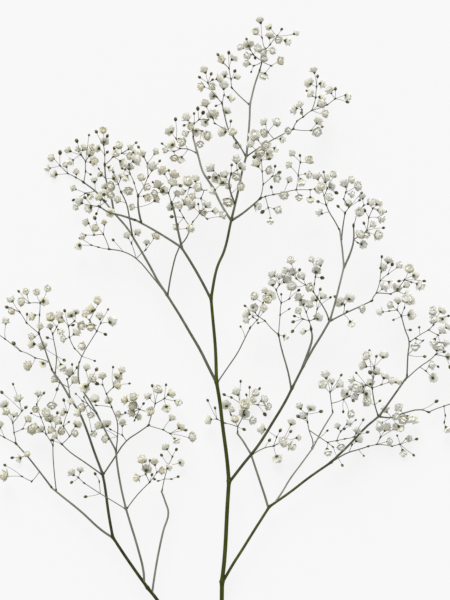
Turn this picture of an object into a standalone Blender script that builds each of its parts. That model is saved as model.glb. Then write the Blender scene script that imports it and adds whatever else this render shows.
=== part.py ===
"""A cut stem of double gypsophila, lying on a surface, with every side branch, spray, bloom and bud.

Plan places are (across, down) in millimetres, with height in millimetres above the surface.
+Y runs from the cut end to the tip and +Z is up. Stems and twigs are placed by hand; pedicels,
heights and the way each bloom faces follow one seeded rule that keeps neighbours clear.
"""

import math
import random

import bpy
import numpy as np
from mathutils import Vector
from mathutils.bvhtree import BVHTree

# Driving sizes, in millimetres
MM = 0.001
PLAN_CENTRE = (228.0, 383.0)
SEED = 11
NODE_GAP = 0.3
CLEAR = 0.45
STEM_SIDES = 6
BRANCH_SIDES = 5
STALK_RADIUS = 0.85
TWIG_RADIUS = 0.68
PEDICEL_RADIUS = 0.55
KNOT_SWELL = 1.3
KNOT_LENGTH = 1.3
BLOOM_RADII = (3.1, 4.2)
BLOOM_PETALS = 4
BUD_RADII = (1.0, 1.5)
LOWEST_BLOOM = 2.9
LOWEST_TWIG = 1.4
HIGHEST = 108.0
TRIES = 60
LEAST_LEAN = 0.3

# The main stem: across, down, height, radius; a negative radius marks a swollen knot
MAIN_STEM = [
    (214, 748, 2.4, 2.6), (214.5, 725, 4.2, 2.5), (216.5, 694, 7, -2.4), (219, 645, 11, 2.3),
    (221.5, 610, 15, 2.3), (222, 584, 17, -2.3), (224.5, 560, 19, 2.2), (227.5, 505, 25, 2.1),
    (229, 482, 28, -2.1), (227, 460, 30, 2.0), (222.5, 425, 34, 1.9), (219.5, 400, 36, 1.9),
    (216.5, 382, 38, -1.9), (215.5, 350, 41, 1.7), (212.5, 315, 43, 1.6), (211, 298, 44, -1.6),
    (217, 268, 45, 1.4), (224.5, 250, 46, 1.4), (231.5, 219.5, 46, -1.3), (238, 192, 46, 1.2),
    (243, 168, 45, 1.1), (246.5, 155.5, 45, -1.1), (249.5, 120, 44, 1.0), (250, 104, 43, -1.0),
    (255, 84, 42, 0.9), (259.5, 71, 42, 0.9),
]

# Side branches: name, parent, first and last radius, last height, places along it
BRANCHES = [
    ("lower_branch", "main_stem", 1.9, 0.9, 36, [
        (216.5, 694), (203, 672), (184, 645), (168, 620), (155, 600), (147, 590), (137, 576), (122, 554),
        (112, 538.5), (108, 515), (104, 485), (102, 474.5), (94, 453), (85, 427), (79, 413), (69, 397),
        (62, 385), (51.5, 370)]),
    ("lower_left_branch", "lower_branch", 1.2, 0.9, 17, [
        (112, 538.5), (100, 531), (80, 513), (60, 497), (50, 489)]),
    ("lower_middle_branch", "lower_branch", 1.3, 0.8, 64, [
        (142.5, 584), (143, 574), (137, 548), (130, 524), (125.5, 508.5), (121, 488), (117, 462),
        (116, 450), (107, 433), (97, 412.5), (90, 400), (82, 387), (79.5, 378), (80, 362)]),
    ("lower_right_branch", "lower_branch", 1.0, 0.8, 24, [
        (150.5, 594.5), (154, 578), (158, 555), (163, 532), (168, 514), (165, 503), (161, 492)]),
    ("right_branch", "main_stem", 1.6, 1.0, 34, [
        (222, 584), (230, 567), (238, 552), (250, 535), (269.5, 508), (290, 493.5), (310, 478),
        (331.5, 463), (350, 445), (367, 427), (380, 416), (392, 399), (408, 376)]),
    ("right_rear_branch", "right_branch", 1.0, 0.8, 13, [
        (269.5, 508), (265, 497), (261, 485), (256, 470), (251, 455), (243, 442), (237, 434)]),
    ("right_inner_branch", "right_branch", 1.1, 0.8, 50, [
        (276, 503), (283, 492), (290, 480), (300, 466), (312.5, 448.5), (322, 430), (333, 411.5)]),
    ("high_right_branch", "main_stem", 1.5, 0.8, 70, [
        (229, 482), (243, 465), (258, 446), (273, 422), (286, 400), (292, 388), (303, 366), (313, 348),
        (321, 335), (329.5, 320), (334, 304), (338, 288), (343, 267), (341, 248), (338.5, 230)]),
    ("left_branch", "main_stem", 1.5, 0.9, 11, [
        (216.5, 382), (208, 366), (200, 350), (190, 333), (180, 316), (166.5, 294.5), (157, 280),
        (150, 267), (136, 243), (126, 227), (112, 211), (103, 200)]),
    ("high_left_branch", "main_stem", 1.3, 0.9, 62, [
        (211, 298), (200, 278), (187, 256), (181.5, 247.5), (170, 240), (150, 228), (136, 220.5)]),
    ("upper_left_branch", "main_stem", 1.1, 0.8, 40, [
        (231.5, 219.5), (222, 206), (213, 188), (203, 172), (197, 152), (193, 137)]),
]

# Sprays: name, parent, last height of the stalk, stalk places, twig forks, blooms, buds
SPRAYS = [
    ("tip_spray", "main_stem", 46, [(259.5, 71), (262, 62), (265, 50)],
     [(254, 66), (271, 66), (262, 38), (253, 55), (270, 45), (277, 36), (250, 50)],
     [(260.5, 21), (256, 33), (270, 27), (270, 36), (263, 52), (272, 52), (263, 60), (258, 50), (249, 56),
      (248, 64), (248, 45), (241, 49), (264, 75), (280, 62), (278, 40), (287, 41), (295, 33)],
     [(246, 40), (282, 29), (255, 58), (251, 72)]),
    ("shoulder_spray", "main_stem", 40, [(250, 104), (240, 96.5), (232, 88)],
     [(231, 79), (229, 68)],
     [(233, 58), (222, 61), (236, 77), (224, 75)], [(218, 55), (229, 52), (235, 70)]),
    ("high_left_spray", "main_stem", 52, [(246.5, 155.5), (237, 142), (229, 131), (225, 118), (222, 104)],
     [(215, 124), (217, 98), (224, 96), (213, 119), (210, 90), (208, 84)],
     [(238, 143), (233, 134), (224, 132), (227, 112), (230, 98), (206, 105), (224, 88), (218, 80), (212, 88),
      (202, 88), (205, 72), (212, 116), (213, 96)],
     [(200, 78), (211, 75), (216, 107), (231, 122), (213, 80)]),
    ("high_right_spray", "main_stem", 36, [(246.5, 155.5), (256, 150), (262, 146), (274, 139), (293, 129)],
     [(297, 121), (303, 117), (312, 110), (327, 105), (335, 99), (311, 130), (302, 110), (316, 97), (317, 86),
      (268, 132), (258, 140)],
     [(289, 131), (282, 139), (275, 148), (266, 145), (265, 133), (255, 136), (264, 123), (276, 123),
      (251, 145), (259, 152), (269, 155), (300, 105), (295, 109), (310, 82), (314, 70), (322, 83), (311, 94),
      (320, 104), (325, 114), (321, 96), (330, 92), (347, 96), (317, 132), (318, 121)],
     [(318, 76), (307, 90), (301, 113), (335, 89), (347, 102), (323, 127)]),
    ("centre_right_spray", "main_stem", 54, [(231.5, 219.5), (242, 214), (252, 206), (260, 199)],
     [(265, 197), (263, 185), (262, 172), (261, 161), (273, 195), (284, 193), (296, 190), (310, 190),
      (298, 176), (300, 163), (268, 208), (272, 177)],
     [(257, 206), (283, 195), (301, 181), (292, 155), (307, 175), (289, 166), (308, 162), (289, 181),
      (268, 153), (257, 165), (268, 171), (276, 179), (299, 197), (310, 199), (270, 220), (276, 210),
      (317, 189)],
     [(300, 156), (254, 158), (269, 160), (275, 167), (279, 173), (271, 187), (262, 212)]),
    ("heart_spray", "main_stem", 62, [(235.5, 203), (231, 194), (229, 184), (231, 175)],
     [(237, 171), (222, 184), (219, 176)],
     [(236, 162), (241, 168), (225, 176), (222, 183), (229, 188), (214, 191), (212, 170), (216, 178),
      (228, 202), (240, 187), (238, 176)], [(232, 166), (209, 178)]),
    ("shelf_spray", "upper_left_branch", 28, [(213, 188), (204, 190), (196, 188)],
     [(190, 187), (201, 198)],
     [(188, 182), (195, 179), (200, 189), (183, 191), (203, 211), (193, 197)], [(186, 197), (207, 203)]),
    ("crown_left_spray", "upper_left_branch", 44, [(193, 137), (193, 130), (194, 124)],
     [(199, 120), (190, 123), (202, 131), (208, 120)],
     [(187, 119), (205, 122), (213, 115), (192, 128), (187, 133), (197, 131), (207, 136), (200, 144)],
     [(194, 114), (198, 109), (203, 113), (184, 126)]),
    ("crown_far_left_spray", "upper_left_branch", 30, [(197, 152), (188, 149), (180, 148)],
     [(176, 138), (174, 151)],
     [(183, 143), (170, 130), (172, 144), (181, 158), (174, 157), (166, 150)],
     [(175, 118), (162, 143), (179, 138)]),
    ("low_heart_spray", "right_rear_branch", 9, [(237, 434), (238, 428), (242, 420), (244, 413)],
     [(225, 424), (217, 420), (249, 405), (258, 406), (240, 404), (231, 416)],
     [(209, 421), (231, 411), (226, 406), (235, 420), (237, 394), (245, 406), (256, 395), (253, 401),
      (264, 401), (268, 407), (252, 421), (243, 415)],
     [(215, 409), (208, 402), (241, 382), (250, 388), (247, 396), (260, 390), (224, 396), (231, 398),
      (265, 416), (244, 431)]),
    ("low_side_spray", "right_rear_branch", 18, [(251, 455), (257, 453), (265, 449), (274, 447)],
     [(283, 442), (277, 438)],
     [(284, 443), (291, 447), (298, 439), (278, 459), (292, 425), (263, 430)],
     [(291, 432), (281, 431), (270, 441)]),
    ("inner_side_spray", "right_inner_branch", 42, [(312.5, 448.5), (313, 443), (309, 430), (307.5, 422)],
     [(307, 414), (328, 443), (337, 441), (345, 439), (341, 432), (354, 437), (333, 447)],
     [(300, 407), (311, 408), (304, 417), (328, 451), (338, 427), (341, 446), (357, 432), (349, 424)],
     [(321, 411), (298, 416), (363, 420), (345, 429), (328, 431), (368, 432), (342, 465), (356, 420)]),
    ("inner_tip_spray", "right_inner_branch", 54, [(333, 411.5), (331, 403), (329.5, 392)],
     [(343, 399), (349, 396)],
     [(325, 376), (331, 381), (338, 385), (352, 388), (346, 393), (349, 413), (323, 385)],
     [(341, 375), (343, 411), (353, 400)]),
    ("right_low_spray", "right_branch", 5, [(331.5, 463), (342, 457), (350, 453.5), (360, 451), (370, 448)],
     [(378.5, 446), (353, 446), (382, 439), (394, 448), (402, 446)],
     [(388, 430), (396, 429), (390, 443), (410, 440), (405, 454), (381, 431), (359, 441)],
     [(419.5, 441), (416.5, 457), (365, 457), (399, 437)]),
    ("right_middle_spray", "right_branch", 44, [(380, 416), (375, 405), (373, 395), (372, 388)],
     [(373, 378), (374, 367), (381, 384.5), (366, 385), (363, 392)],
     [(366, 356), (364, 366), (384, 356), (384, 377), (390, 381), (397, 382), (371, 383), (353, 380),
      (357, 388), (362, 387), (356, 396), (366, 394), (368, 402), (376, 372)],
     [(376, 356), (356, 373), (370, 372), (380, 401), (371, 352)]),
    ("right_edge_spray", "right_branch", 16, [(380, 416), (392, 418), (404, 414), (423, 410.5), (430, 413)],
     [(446, 407), (447, 416), (446, 423), (460, 403), (462, 416), (459, 427)],
     [(381, 424), (387, 411), (395, 417), (400, 409), (404, 420), (401, 428), (410, 418), (416, 420),
      (457, 395), (468, 397), (470, 406), (472, 415), (467, 423), (459, 434), (469, 432), (449, 430)],
     [(463, 389), (477, 402), (479, 411), (438, 402), (475, 425)]),
    ("right_high_spray", "right_branch", 46, [(408, 376), (408, 355), (409, 341), (405, 330), (401, 316)],
     [(397, 310), (389, 311), (404, 308), (422, 340), (416, 338)],
     [(381, 312), (391, 306), (410, 315), (398, 302), (405, 300), (415, 346)],
     [(410, 330), (424, 356), (393, 320)]),
    ("right_shoulder_spray", "right_high_spray", 34, [(409, 341), (420, 335), (429, 330)],
     [(434, 325), (438, 335), (437, 318)],
     [(434, 320), (441, 331), (448, 327), (434, 341), (433, 311), (443, 311), (444, 319), (440, 345)],
     [(419, 327), (450, 316)]),
    ("right_far_spray", "right_branch", 38, [(405, 380), (420, 367), (430, 360), (436, 354.5)],
     [(426, 371), (447, 357), (456, 354)],
     [(438, 349), (449, 357), (431, 366), (434, 378), (458, 347), (463, 356), (446, 343)],
     [(444, 352), (439, 367), (450, 367), (465, 347)]),
    ("fan_left_spray", "high_right_branch", 46, [(292, 388), (288, 372), (281, 347), (278.5, 335)],
     [(265, 321), (258, 316), (280, 315), (281, 303), (276, 290), (289, 309), (289, 299), (263, 303),
      (279, 285)],
     [(248, 314), (254, 310), (255, 297), (265, 292), (271, 296), (272, 284), (273, 275), (279, 277),
      (285, 281), (285, 272), (291, 287), (285, 336), (266, 299)],
     [(245, 306), (299, 290), (281, 294), (258, 323)]),
    ("hand_spray", "main_stem", 44, [(216.5, 382), (228, 367), (238, 352), (245, 338), (250, 328)],
     [(257, 320), (253, 317)],
     [(263, 310), (247, 320)], [(253, 307), (241, 327)]),
    ("fan_middle_spray", "high_right_branch", 44, [(303, 366), (308, 352), (312, 338), (311, 329)],
     [(309, 321), (306, 312), (314, 319), (317, 309), (303, 319)],
     [(299, 298), (299, 312), (304, 331), (309, 305), (322, 297), (304, 304), (315, 299), (318, 318)],
     [(293, 322), (295, 316), (292, 331), (330, 297)]),
    ("fan_upper_spray", "high_right_branch", 56, [(329.5, 320), (326, 313), (321, 304), (317, 298)],
     [(313, 292), (314, 284), (315, 277), (305, 285), (296, 279)],
     [(311, 261), (319, 264), (316, 271), (290, 262), (292, 273), (302, 277), (308, 286)],
     [(322, 278), (320, 289), (299, 270), (296, 287)]),
    ("fan_right_spray", "high_right_branch", 50, [(329.5, 320), (343, 314), (356, 308), (371, 301)],
     [(376, 293), (380, 281), (381, 272), (388, 274), (390, 294), (397, 291), (404, 280), (344, 305)],
     [(340, 303), (349, 298), (360, 309), (382, 267), (388, 261), (398, 266), (383, 288), (390, 283),
      (398, 288), (405, 286), (419, 285), (408, 269), (415, 275), (406, 294), (411, 300), (351, 323)],
     [(346, 311), (335, 297), (382, 257), (392.5, 264), (424, 281), (399, 281), (411, 283)]),
    ("peak_left_spray", "high_right_branch", 76, [(338.5, 230), (333, 221), (328, 213), (325, 206)],
     [(323, 197), (326, 190)],
     [(316, 179), (325, 181), (332, 177), (320, 189), (330, 188), (328, 200), (319, 214)],
     [(335, 194), (317, 203), (322, 174)]),
    ("peak_spray", "high_right_branch", 66, [(340, 240), (342, 226), (344, 214)],
     [(348, 208), (343, 200), (345, 193)],
     [(344, 186), (350, 181), (356, 187), (350, 195), (348, 205)],
     [(358, 201), (360, 194), (337, 207)]),
    ("peak_right_spray", "high_right_branch", 52, [(343, 267), (350, 252), (353, 240), (353, 226)],
     [(357, 243), (366, 231), (356, 214), (368, 218), (372, 209), (363, 206)],
     [(362, 245), (358, 236), (365, 234), (371, 226), (376, 236), (379, 219), (359, 213), (369, 203),
      (362, 198), (377, 204), (379, 211)],
     [(385, 212), (363, 224), (364, 211), (383, 228)]),
    ("left_low_spray", "left_branch", 30, [(166.5, 294.5), (150, 274), (136, 258.5), (123, 251.5), (109, 249)],
     [(98, 247), (91, 245), (103, 234), (94, 235), (131, 243), (145, 250)],
     [(78, 245), (95, 229), (87, 223), (104, 223), (127, 236), (136, 233), (146, 243), (155, 237), (84, 236)],
     [(95, 218), (80, 238), (113, 240)]),
    ("left_inner_spray", "left_branch", 50, [(166.5, 294.5), (172, 270), (179, 248), (187, 237), (190.5, 227)],
     [(184, 218), (180, 211), (193, 222), (200, 213), (207, 219)],
     [(179, 207), (207, 206), (214, 211), (186, 203), (192, 206), (222, 216), (177, 226)],
     [(172, 217), (198, 204)]),
    ("left_tip_spray", "left_branch", 5, [(103, 200), (94, 190), (82, 181)],
     [(84, 170), (84, 160), (79, 153), (74, 176), (66, 172), (58, 164), (84, 192)],
     [(64, 164), (50, 157), (46, 167), (53, 173), (75, 171), (91, 147), (82, 147), (77, 149), (67, 149),
      (88, 153), (91, 160), (93, 180), (87, 194), (73, 188), (75, 206), (70, 160)],
     [(58, 151), (76, 139), (89, 134), (89, 173), (72, 199)]),
    ("left_crown_spray", "left_branch", 22, [(112, 211), (110, 195), (105, 178), (104, 164)],
     [(104, 154), (103, 144), (112, 156), (121, 152), (98, 168)],
     [(103, 131), (104, 141), (97, 147), (114, 155), (121, 161), (119, 145), (129, 147), (134, 151),
      (128, 155), (100, 174), (109, 167), (114, 177), (104, 186), (110, 195)],
     [(96, 131), (107, 135), (113, 147), (107, 151), (136, 142)]),
    ("left_back_spray", "left_branch", 34, [(131, 235), (129, 218), (126, 203), (121, 192)],
     [(118, 184), (126, 188)],
     [(121, 176), (128, 190), (112, 186), (118, 200)], [(113, 172), (124, 168)]),
    ("shelf_left_spray", "high_left_branch", 52, [(136, 220.5), (122, 216), (110, 213), (100, 207)],
     [(92, 206), (106, 202)],
     [(81, 202), (90, 209), (100, 199), (110, 213), (104, 194)], [(86, 198), (97, 214)]),
    ("crest_left_spray", "high_left_branch", 72, [(140.5, 223), (139, 208), (139, 197)],
     [(135, 184), (131, 175), (130, 166), (145, 188), (149, 178), (148, 165)],
     [(134, 208), (147, 198), (156, 200), (153, 170), (156, 155), (144, 157), (131, 168), (136, 162),
      (127, 178), (142, 180), (148, 188)], [(140, 149), (161, 163), (123, 170)]),
    ("crest_inner_spray", "high_left_branch", 60, [(181.5, 247.5), (178, 230), (174.5, 212), (172, 204)],
     [(169, 194), (172, 186), (162, 193)],
     [(172, 184), (175, 178), (164, 173), (159, 187), (164, 191), (177, 195), (172, 208), (189, 229),
      (156, 194)], [(169, 172), (181, 187), (154, 183)]),
    ("corner_left_spray", "lower_left_branch", 11, [(50, 489), (38, 473), (25, 457), (14, 445)],
     [(12, 434), (11, 424), (2, 439), (-10, 433), (21, 430), (20, 412), (30, 483), (20, 478)],
     [(12, 416), (5, 413), (2, 406), (26, 421), (17, 400), (30, 430), (26, 456), (-14, 423), (-21, 432),
      (-14, 441), (-3, 428), (4, 477), (17, 460)],
     [(1, 394), (24, 408), (12, 385), (-22, 424), (2, 467), (10, 459)]),
    ("corner_up_spray", "lower_left_branch", 24, [(54, 492), (53, 472), (52, 455), (52, 446)],
     [(45, 435), (54, 432), (40, 418), (36, 405)],
     [(54, 421), (48, 421), (45, 415), (49, 432), (40, 431), (35, 427), (35, 409), (38, 395), (60, 432)],
     [(57, 413), (44, 393), (30, 414)]),
    ("net_left_spray", "lower_branch", 44, [(102, 474.5), (85, 463), (70, 452), (62, 444)],
     [(70, 436), (64, 426), (68, 412)],
     [(77, 425), (74, 433), (65, 411), (71, 402), (56, 436), (60, 421)],
     [(70, 421), (64, 400), (52, 440)]),
    ("net_right_spray", "lower_branch", 28, [(102, 474.5), (113, 460), (126, 441.5), (138, 433), (148, 426)],
     [(152, 413), (155, 404), (139, 410), (163, 430), (170, 434), (122, 436), (110, 430), (134, 421),
      (164, 399)],
     [(148, 397), (158, 390), (170, 394), (177, 402), (166, 408), (150, 412), (134, 398), (134, 407),
      (125, 401), (132, 413), (137, 418), (119, 415), (122, 424), (106, 425), (171, 419), (176, 440),
      (180, 428), (191, 437)],
     [(152, 386), (166, 385), (143, 404), (186, 430)]),
    ("middle_right_spray", "lower_middle_branch", 50, [(125.5, 508.5), (138, 494), (150, 481.5)],
     [(146, 474), (157, 472)],
     [(138, 477), (147, 469), (142, 460), (155, 463), (161, 470), (168, 468)], [(152, 474), (150, 459)]),
    ("middle_left_spray", "lower_middle_branch", 34, [(125.5, 508.5), (110, 500), (100, 494), (84, 483.5)],
     [(99, 482), (78, 478)],
     [(72, 474), (80, 471)], [(85, 497), (95, 474), (71, 483)]),
    ("low_right_spray", "lower_right_branch", 20, [(161, 492), (164, 480), (168, 466)],
     [(172, 458), (158, 482), (171, 480)],
     [(166, 450), (180, 464)], [(176, 451), (178, 478), (154, 480), (161, 457)]),
    ("net_middle_spray", "lower_middle_branch", 76, [(116, 450), (118, 436), (118, 420), (113, 406)],
     [(108, 393), (115, 386), (104, 384), (98, 404)],
     [(110, 401), (97, 399), (118, 384), (119, 376), (104, 376), (123, 370), (101, 425), (107, 438)],
     [(98, 383), (114, 367), (130, 383), (126, 412)]),
    ("net_upper_spray", "lower_middle_branch", 84, [(97, 412.5), (90, 404), (86, 396)],
     [(90, 384), (84, 400)],
     [(88, 368), (94, 378), (86, 385), (84, 406), (80, 411), (92, 413), (93, 432)], [(99, 368), (78, 393)]),
    ("arch_spray", "lower_middle_branch", 70, [(80, 362), (83, 356), (88, 347), (93, 339), (98, 331)],
     [(102, 323), (91, 320), (96, 310), (76, 348), (71, 337), (70, 326), (76, 321)],
     [(92, 324), (87, 315), (93, 311), (99, 302), (101, 317), (112, 321), (84, 346), (83, 325), (66, 338),
      (72, 315), (77, 312), (62, 316), (77, 333)],
     [(109, 309), (95, 361), (106, 334), (66, 311), (74, 325)]),
    ("far_left_up_spray", "lower_branch", 40, [(51.5, 370), (49, 362), (45, 350), (39, 333.5)],
     [(39.5, 315), (27, 323), (20, 312), (40, 303), (29, 303), (35, 358), (20, 351), (5, 339), (-6, 331)],
     [(13, 311), (12, 300), (26, 293), (23, 302), (37, 293), (48, 290), (43, 302), (33, 316), (40, 328),
      (33, 337), (32, 344), (6, 322), (42, 364), (29, 366), (-9, 321), (-17, 330), (-12, 338)],
     [(27, 314), (18, 291), (7, 307), (-20, 321), (14, 343)]),
    ("far_left_middle_spray", "lower_branch", 28, [(54, 373.5), (56, 356), (53, 340), (52, 334)],
     [(56, 327)],
     [(51, 318), (50, 328), (59, 331), (59, 321), (43, 347), (61, 367)], [(64, 360), (47, 338)]),
    ("far_left_low_spray", "lower_branch", 20, [(69, 397), (68, 388), (66, 380)],
     [(72, 374), (59, 383)],
     [(68, 375), (74, 381), (53, 404), (55, 380)], [(71, 365), (77, 368), (56, 390)]),
]


def unit(vector):
    return vector / max(np.linalg.norm(vector), 1e-9)


def plan(across, down, height):
    """A plan place as a point in millimetres from the part's origin."""
    return np.array((across - PLAN_CENTRE[0], PLAN_CENTRE[1] - down, height), float)


def square_to(vector, axis):
    return unit(vector - axis * np.dot(vector, axis))


def ring(centre, axis, first, radius, count, turn=0.0):
    """Points on a circle round the axis, starting at the first direction."""
    second = np.cross(axis, first)
    angles = [turn + math.tau * i / count for i in range(count)]
    return [centre + radius * (math.cos(a) * first + math.sin(a) * second) for a in angles]


def bridge(low, high, faces):
    """Triangles between two rings that start at about the same angle and may differ in count."""
    i = j = 0
    while i < len(low) or j < len(high):
        a, b = low[i % len(low)], high[j % len(high)]
        if j == len(high) or (i < len(low) and (i + 0.5) / len(low) <= (j + 0.5) / len(high)):
            i += 1
            faces.append((a, low[i % len(low)], b))
        else:
            j += 1
            faces.append((a, high[j % len(high)], b))


class Growth:
    """A closed surface that grows by drawing one small face at a time out into a limb."""

    def __init__(self):
        self.points = []
        self.faces = []
        self.tree = None
        self.tree_faces = []

    def drawn_out(self, base, rings, tip=None):
        """Points and faces of a limb from a base loop through rings, and its last loop."""
        start = len(self.points)
        points, faces, last = [], [], list(base)
        for loop in rings:
            ids = list(range(start + len(points), start + len(points) + len(loop)))
            points += loop
            bridge(last, ids, faces)
            last = ids
        if tip is not None:
            points.append(tip)
            end = start + len(points) - 1
            faces += [(a, last[(i + 1) % len(last)], end) for i, a in enumerate(last)]
        return points, faces, last

    def take(self, points, faces, used_face=None):
        """Adds a limb, and returns the places of its faces in the list."""
        self.points += points
        if used_face is not None:
            self.faces[used_face] = None
        self.faces += faces
        self.tree = None
        return list(range(len(self.faces) - len(faces), len(self.faces)))

    def crosses(self, points, faces):
        """Whether a new limb would cut through faces that it doesn't grow from."""
        if self.tree is None:
            self.tree_faces = [f for f in self.faces if f is not None]
            self.tree = BVHTree.FromPolygons([tuple(p) for p in self.points], self.tree_faces)
        together = [tuple(p) for p in self.points + points]
        limb_tree = BVHTree.FromPolygons(together, faces)
        pairs = limb_tree.overlap(self.tree)
        return any(not set(faces[i]) & set(self.tree_faces[j]) for i, j in pairs)

    def best_face(self, knot, axis):
        """The free face of a knot that looks most along the axis."""
        best = (0.0, None)
        for index in knot["faces"]:
            face = self.faces[index]
            if face is None:
                continue
            a, b, c = (self.points[i] for i in face)
            lean = float(np.dot(unit(np.cross(b - a, c - a)), axis))
            if lean > best[0]:
                best = (lean, index)
        return best

    def first_direction(self, loop, axis):
        """The direction, square to the axis, that lines a new ring up with a loop of three."""
        places = [self.points[i] for i in loop]
        middle = sum(places) / len(places)
        total = np.zeros(3)
        for i, place in enumerate(places):
            out = square_to(place - middle, axis)
            angle = -math.tau * i / len(places)
            total += out * math.cos(angle) + np.cross(axis, out) * math.sin(angle)
        return square_to(total, axis)


def tube(points, radii, sides, first_axis=None):
    """A closed tapering tube along the points."""
    growth = Growth()
    steps = [unit(b - a) for a, b in zip(points, points[1:])]
    first = None
    rings = []
    for i, point in enumerate(points):
        axis = unit(steps[max(i - 1, 0)] + steps[min(i, len(steps) - 1)])
        if i == 0 and first_axis is not None:
            axis = first_axis
        first = square_to(np.array((0.0, 0.0, 1.0)) if first is None else first, axis)
        rings.append(ring(point, axis, first, radii[i], sides))
    growth.take(rings[0], [tuple(reversed(range(sides)))])
    new_points, faces, last = growth.drawn_out(range(sides), rings[1:])
    growth.take(new_points, faces + [tuple(last)])
    return growth


def knot_rings(centre, axis, first, radius, is_tip):
    """Two short turned rings, with small faces between them that later limbs can leave from."""
    half = axis * KNOT_LENGTH * 0.5
    rings = [ring(centre - half, axis, first, radius, 3), ring(centre + half, axis, first, radius, 3, math.pi / 3)]
    return rings, centre + half * 1.9 if is_tip else None


def stalk(points, start_axis):
    """The stalk of a spray as a closed surface, and its knots."""
    growth = Growth()
    knots = []
    first = square_to(np.array((0.0, 0.0, 1.0)), start_axis)
    growth.take(ring(points[0], start_axis, first, STALK_RADIUS, 3), [(2, 1, 0)])
    last = [0, 1, 2]
    for i in range(1, len(points)):
        way = unit(points[i] - points[i - 1])
        is_tip = i == len(points) - 1
        axis = way if is_tip else unit(way + unit(points[i + 1] - points[i]))
        first = growth.first_direction(last, axis)
        radius = STALK_RADIUS + (TWIG_RADIUS - STALK_RADIUS) * i / (len(points) - 1)
        rings, tip = knot_rings(points[i], axis, first, radius, is_tip)
        new_points, faces, last = growth.drawn_out(last, rings, tip)
        places = growth.take(new_points, faces)
        knots.append({"centre": points[i], "way": way, "faces": places[6:]})
    return growth, knots


def twig_limb(growth, face, knot, end):
    """A twig from one face of a knot, with a knot of its own at the end."""
    axis = unit(end - knot["centre"])
    first = growth.first_direction(growth.faces[face], axis)
    rings, tip = knot_rings(end, axis, first, TWIG_RADIUS, True)
    return growth.drawn_out(growth.faces[face], rings, tip)[:2]


def bloom_limb(growth, face, knot, heart, facing, size):
    """A pedicel from one face of a knot, opening into a cup of petals."""
    axis = unit(heart - knot["centre"])
    first = growth.first_direction(growth.faces[face], axis)
    neck = ring(heart - facing * size * 0.62, unit(axis + facing), first, PEDICEL_RADIUS * 1.2, 3)
    first = square_to(first, facing)
    second = np.cross(facing, first)
    rim = []
    for i in range(BLOOM_PETALS * 2):
        reach, rise = (size, 0.30) if i % 2 == 0 else (size * 0.66, 0.12)
        angle = math.tau * i / (BLOOM_PETALS * 2)
        rim.append(heart + (math.cos(angle) * first + math.sin(angle) * second) * reach + facing * size * rise)
    return growth.drawn_out(growth.faces[face], [neck, rim], heart + facing * size * 0.55)[:2]


def bud_limb(growth, face, knot, heart, facing, size):
    """A pedicel from one face of a knot, ending in a closed bud."""
    axis = unit(heart - knot["centre"])
    first = growth.first_direction(growth.faces[face], axis)
    neck = ring(heart - axis * size * 1.1, axis, first, PEDICEL_RADIUS, 3)
    waist = ring(heart, axis, first, size * 1.15, 3)
    return growth.drawn_out(growth.faces[face], [neck, waist], heart + axis * size * 1.3)[:2]


class Space:
    """Everything placed so far, as capsules, so that what comes next can be kept clear of it."""

    def __init__(self):
        self.starts = np.zeros((0, 3))
        self.ends = np.zeros((0, 3))
        self.radii = np.zeros(0)
        self.owners = np.zeros(0, object)

    def put(self, owner, start, end, radius):
        self.starts = np.vstack([self.starts, start])
        self.ends = np.vstack([self.ends, end])
        self.radii = np.append(self.radii, radius)
        self.owners = np.append(self.owners, owner)

    def put_path(self, owner, points, radii):
        for i, (a, b) in enumerate(zip(points, points[1:])):
            self.put(owner, a, b, max(abs(radii[i]), abs(radii[i + 1])))

    def gaps(self, start, end, radius):
        """The clear distance from a new capsule to each one placed."""
        along = end - start
        others = self.ends - self.starts
        between = start - self.starts
        a = float(np.dot(along, along)) + 1e-9
        e = (others * others).sum(1) + 1e-9
        f = (others * between).sum(1)
        c = between @ along
        b = others @ along
        lower = a * e - b * b
        s = np.clip(np.where(lower > 1e-6, (b * f - c * e) / np.maximum(lower, 1e-6), 0.0), 0.0, 1.0)
        t = np.clip((b * s + f) / e, 0.0, 1.0)
        s = np.clip((b * t - c) / a, 0.0, 1.0)
        near = start + s[:, None] * along
        far = self.starts + t[:, None] * others
        return np.linalg.norm(near - far, axis=1) - self.radii - radius

    def least_gap(self, owner, start, end, radius, own_press):
        """The least gap to other nodes past the clearance, or to the same node less what it may press in."""
        found = self.gaps(start, end, radius)
        foreign = self.owners != owner
        least = float(found[foreign].min()) - CLEAR if foreign.any() else 99.0
        if own_press is not None and (~foreign).any():
            least = min(least, float(found[~foreign].min()) + own_press)
        return least


def nearest_on(path, across, down):
    """The point of a placed path nearest a plan place, its direction, its radius and whether it is the tip."""
    points, radii = path
    place = plan(across, down, 0)[:2]
    best = None
    for i, (a, b) in enumerate(zip(points, points[1:])):
        run = (b - a)[:2]
        t = min(max(float(np.dot(place - a[:2], run) / max(np.dot(run, run), 1e-9)), 0.0), 1.0)
        point = a + (b - a) * t
        gap = float(np.linalg.norm(point[:2] - place))
        if best is None or gap < best[0] - 1e-6:
            radius = radii[i] + (radii[i + 1] - radii[i]) * t
            at_tip = i == len(points) - 2 and t > 0.98
            best = (gap, point, unit(b - a), radius, at_tip)
    return best[1:]


def spread(start_height, end_height, places):
    """Places with heights that run evenly from the first to the last."""
    runs = [0.0]
    for (a, b), (c, d) in zip(places, places[1:]):
        runs.append(runs[-1] + math.hypot(c - a, d - b))
    heights = [start_height + (end_height - start_height) * r / runs[-1] for r in runs]
    return [plan(u, v, h) for (u, v), h in zip(places, heights)]


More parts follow.
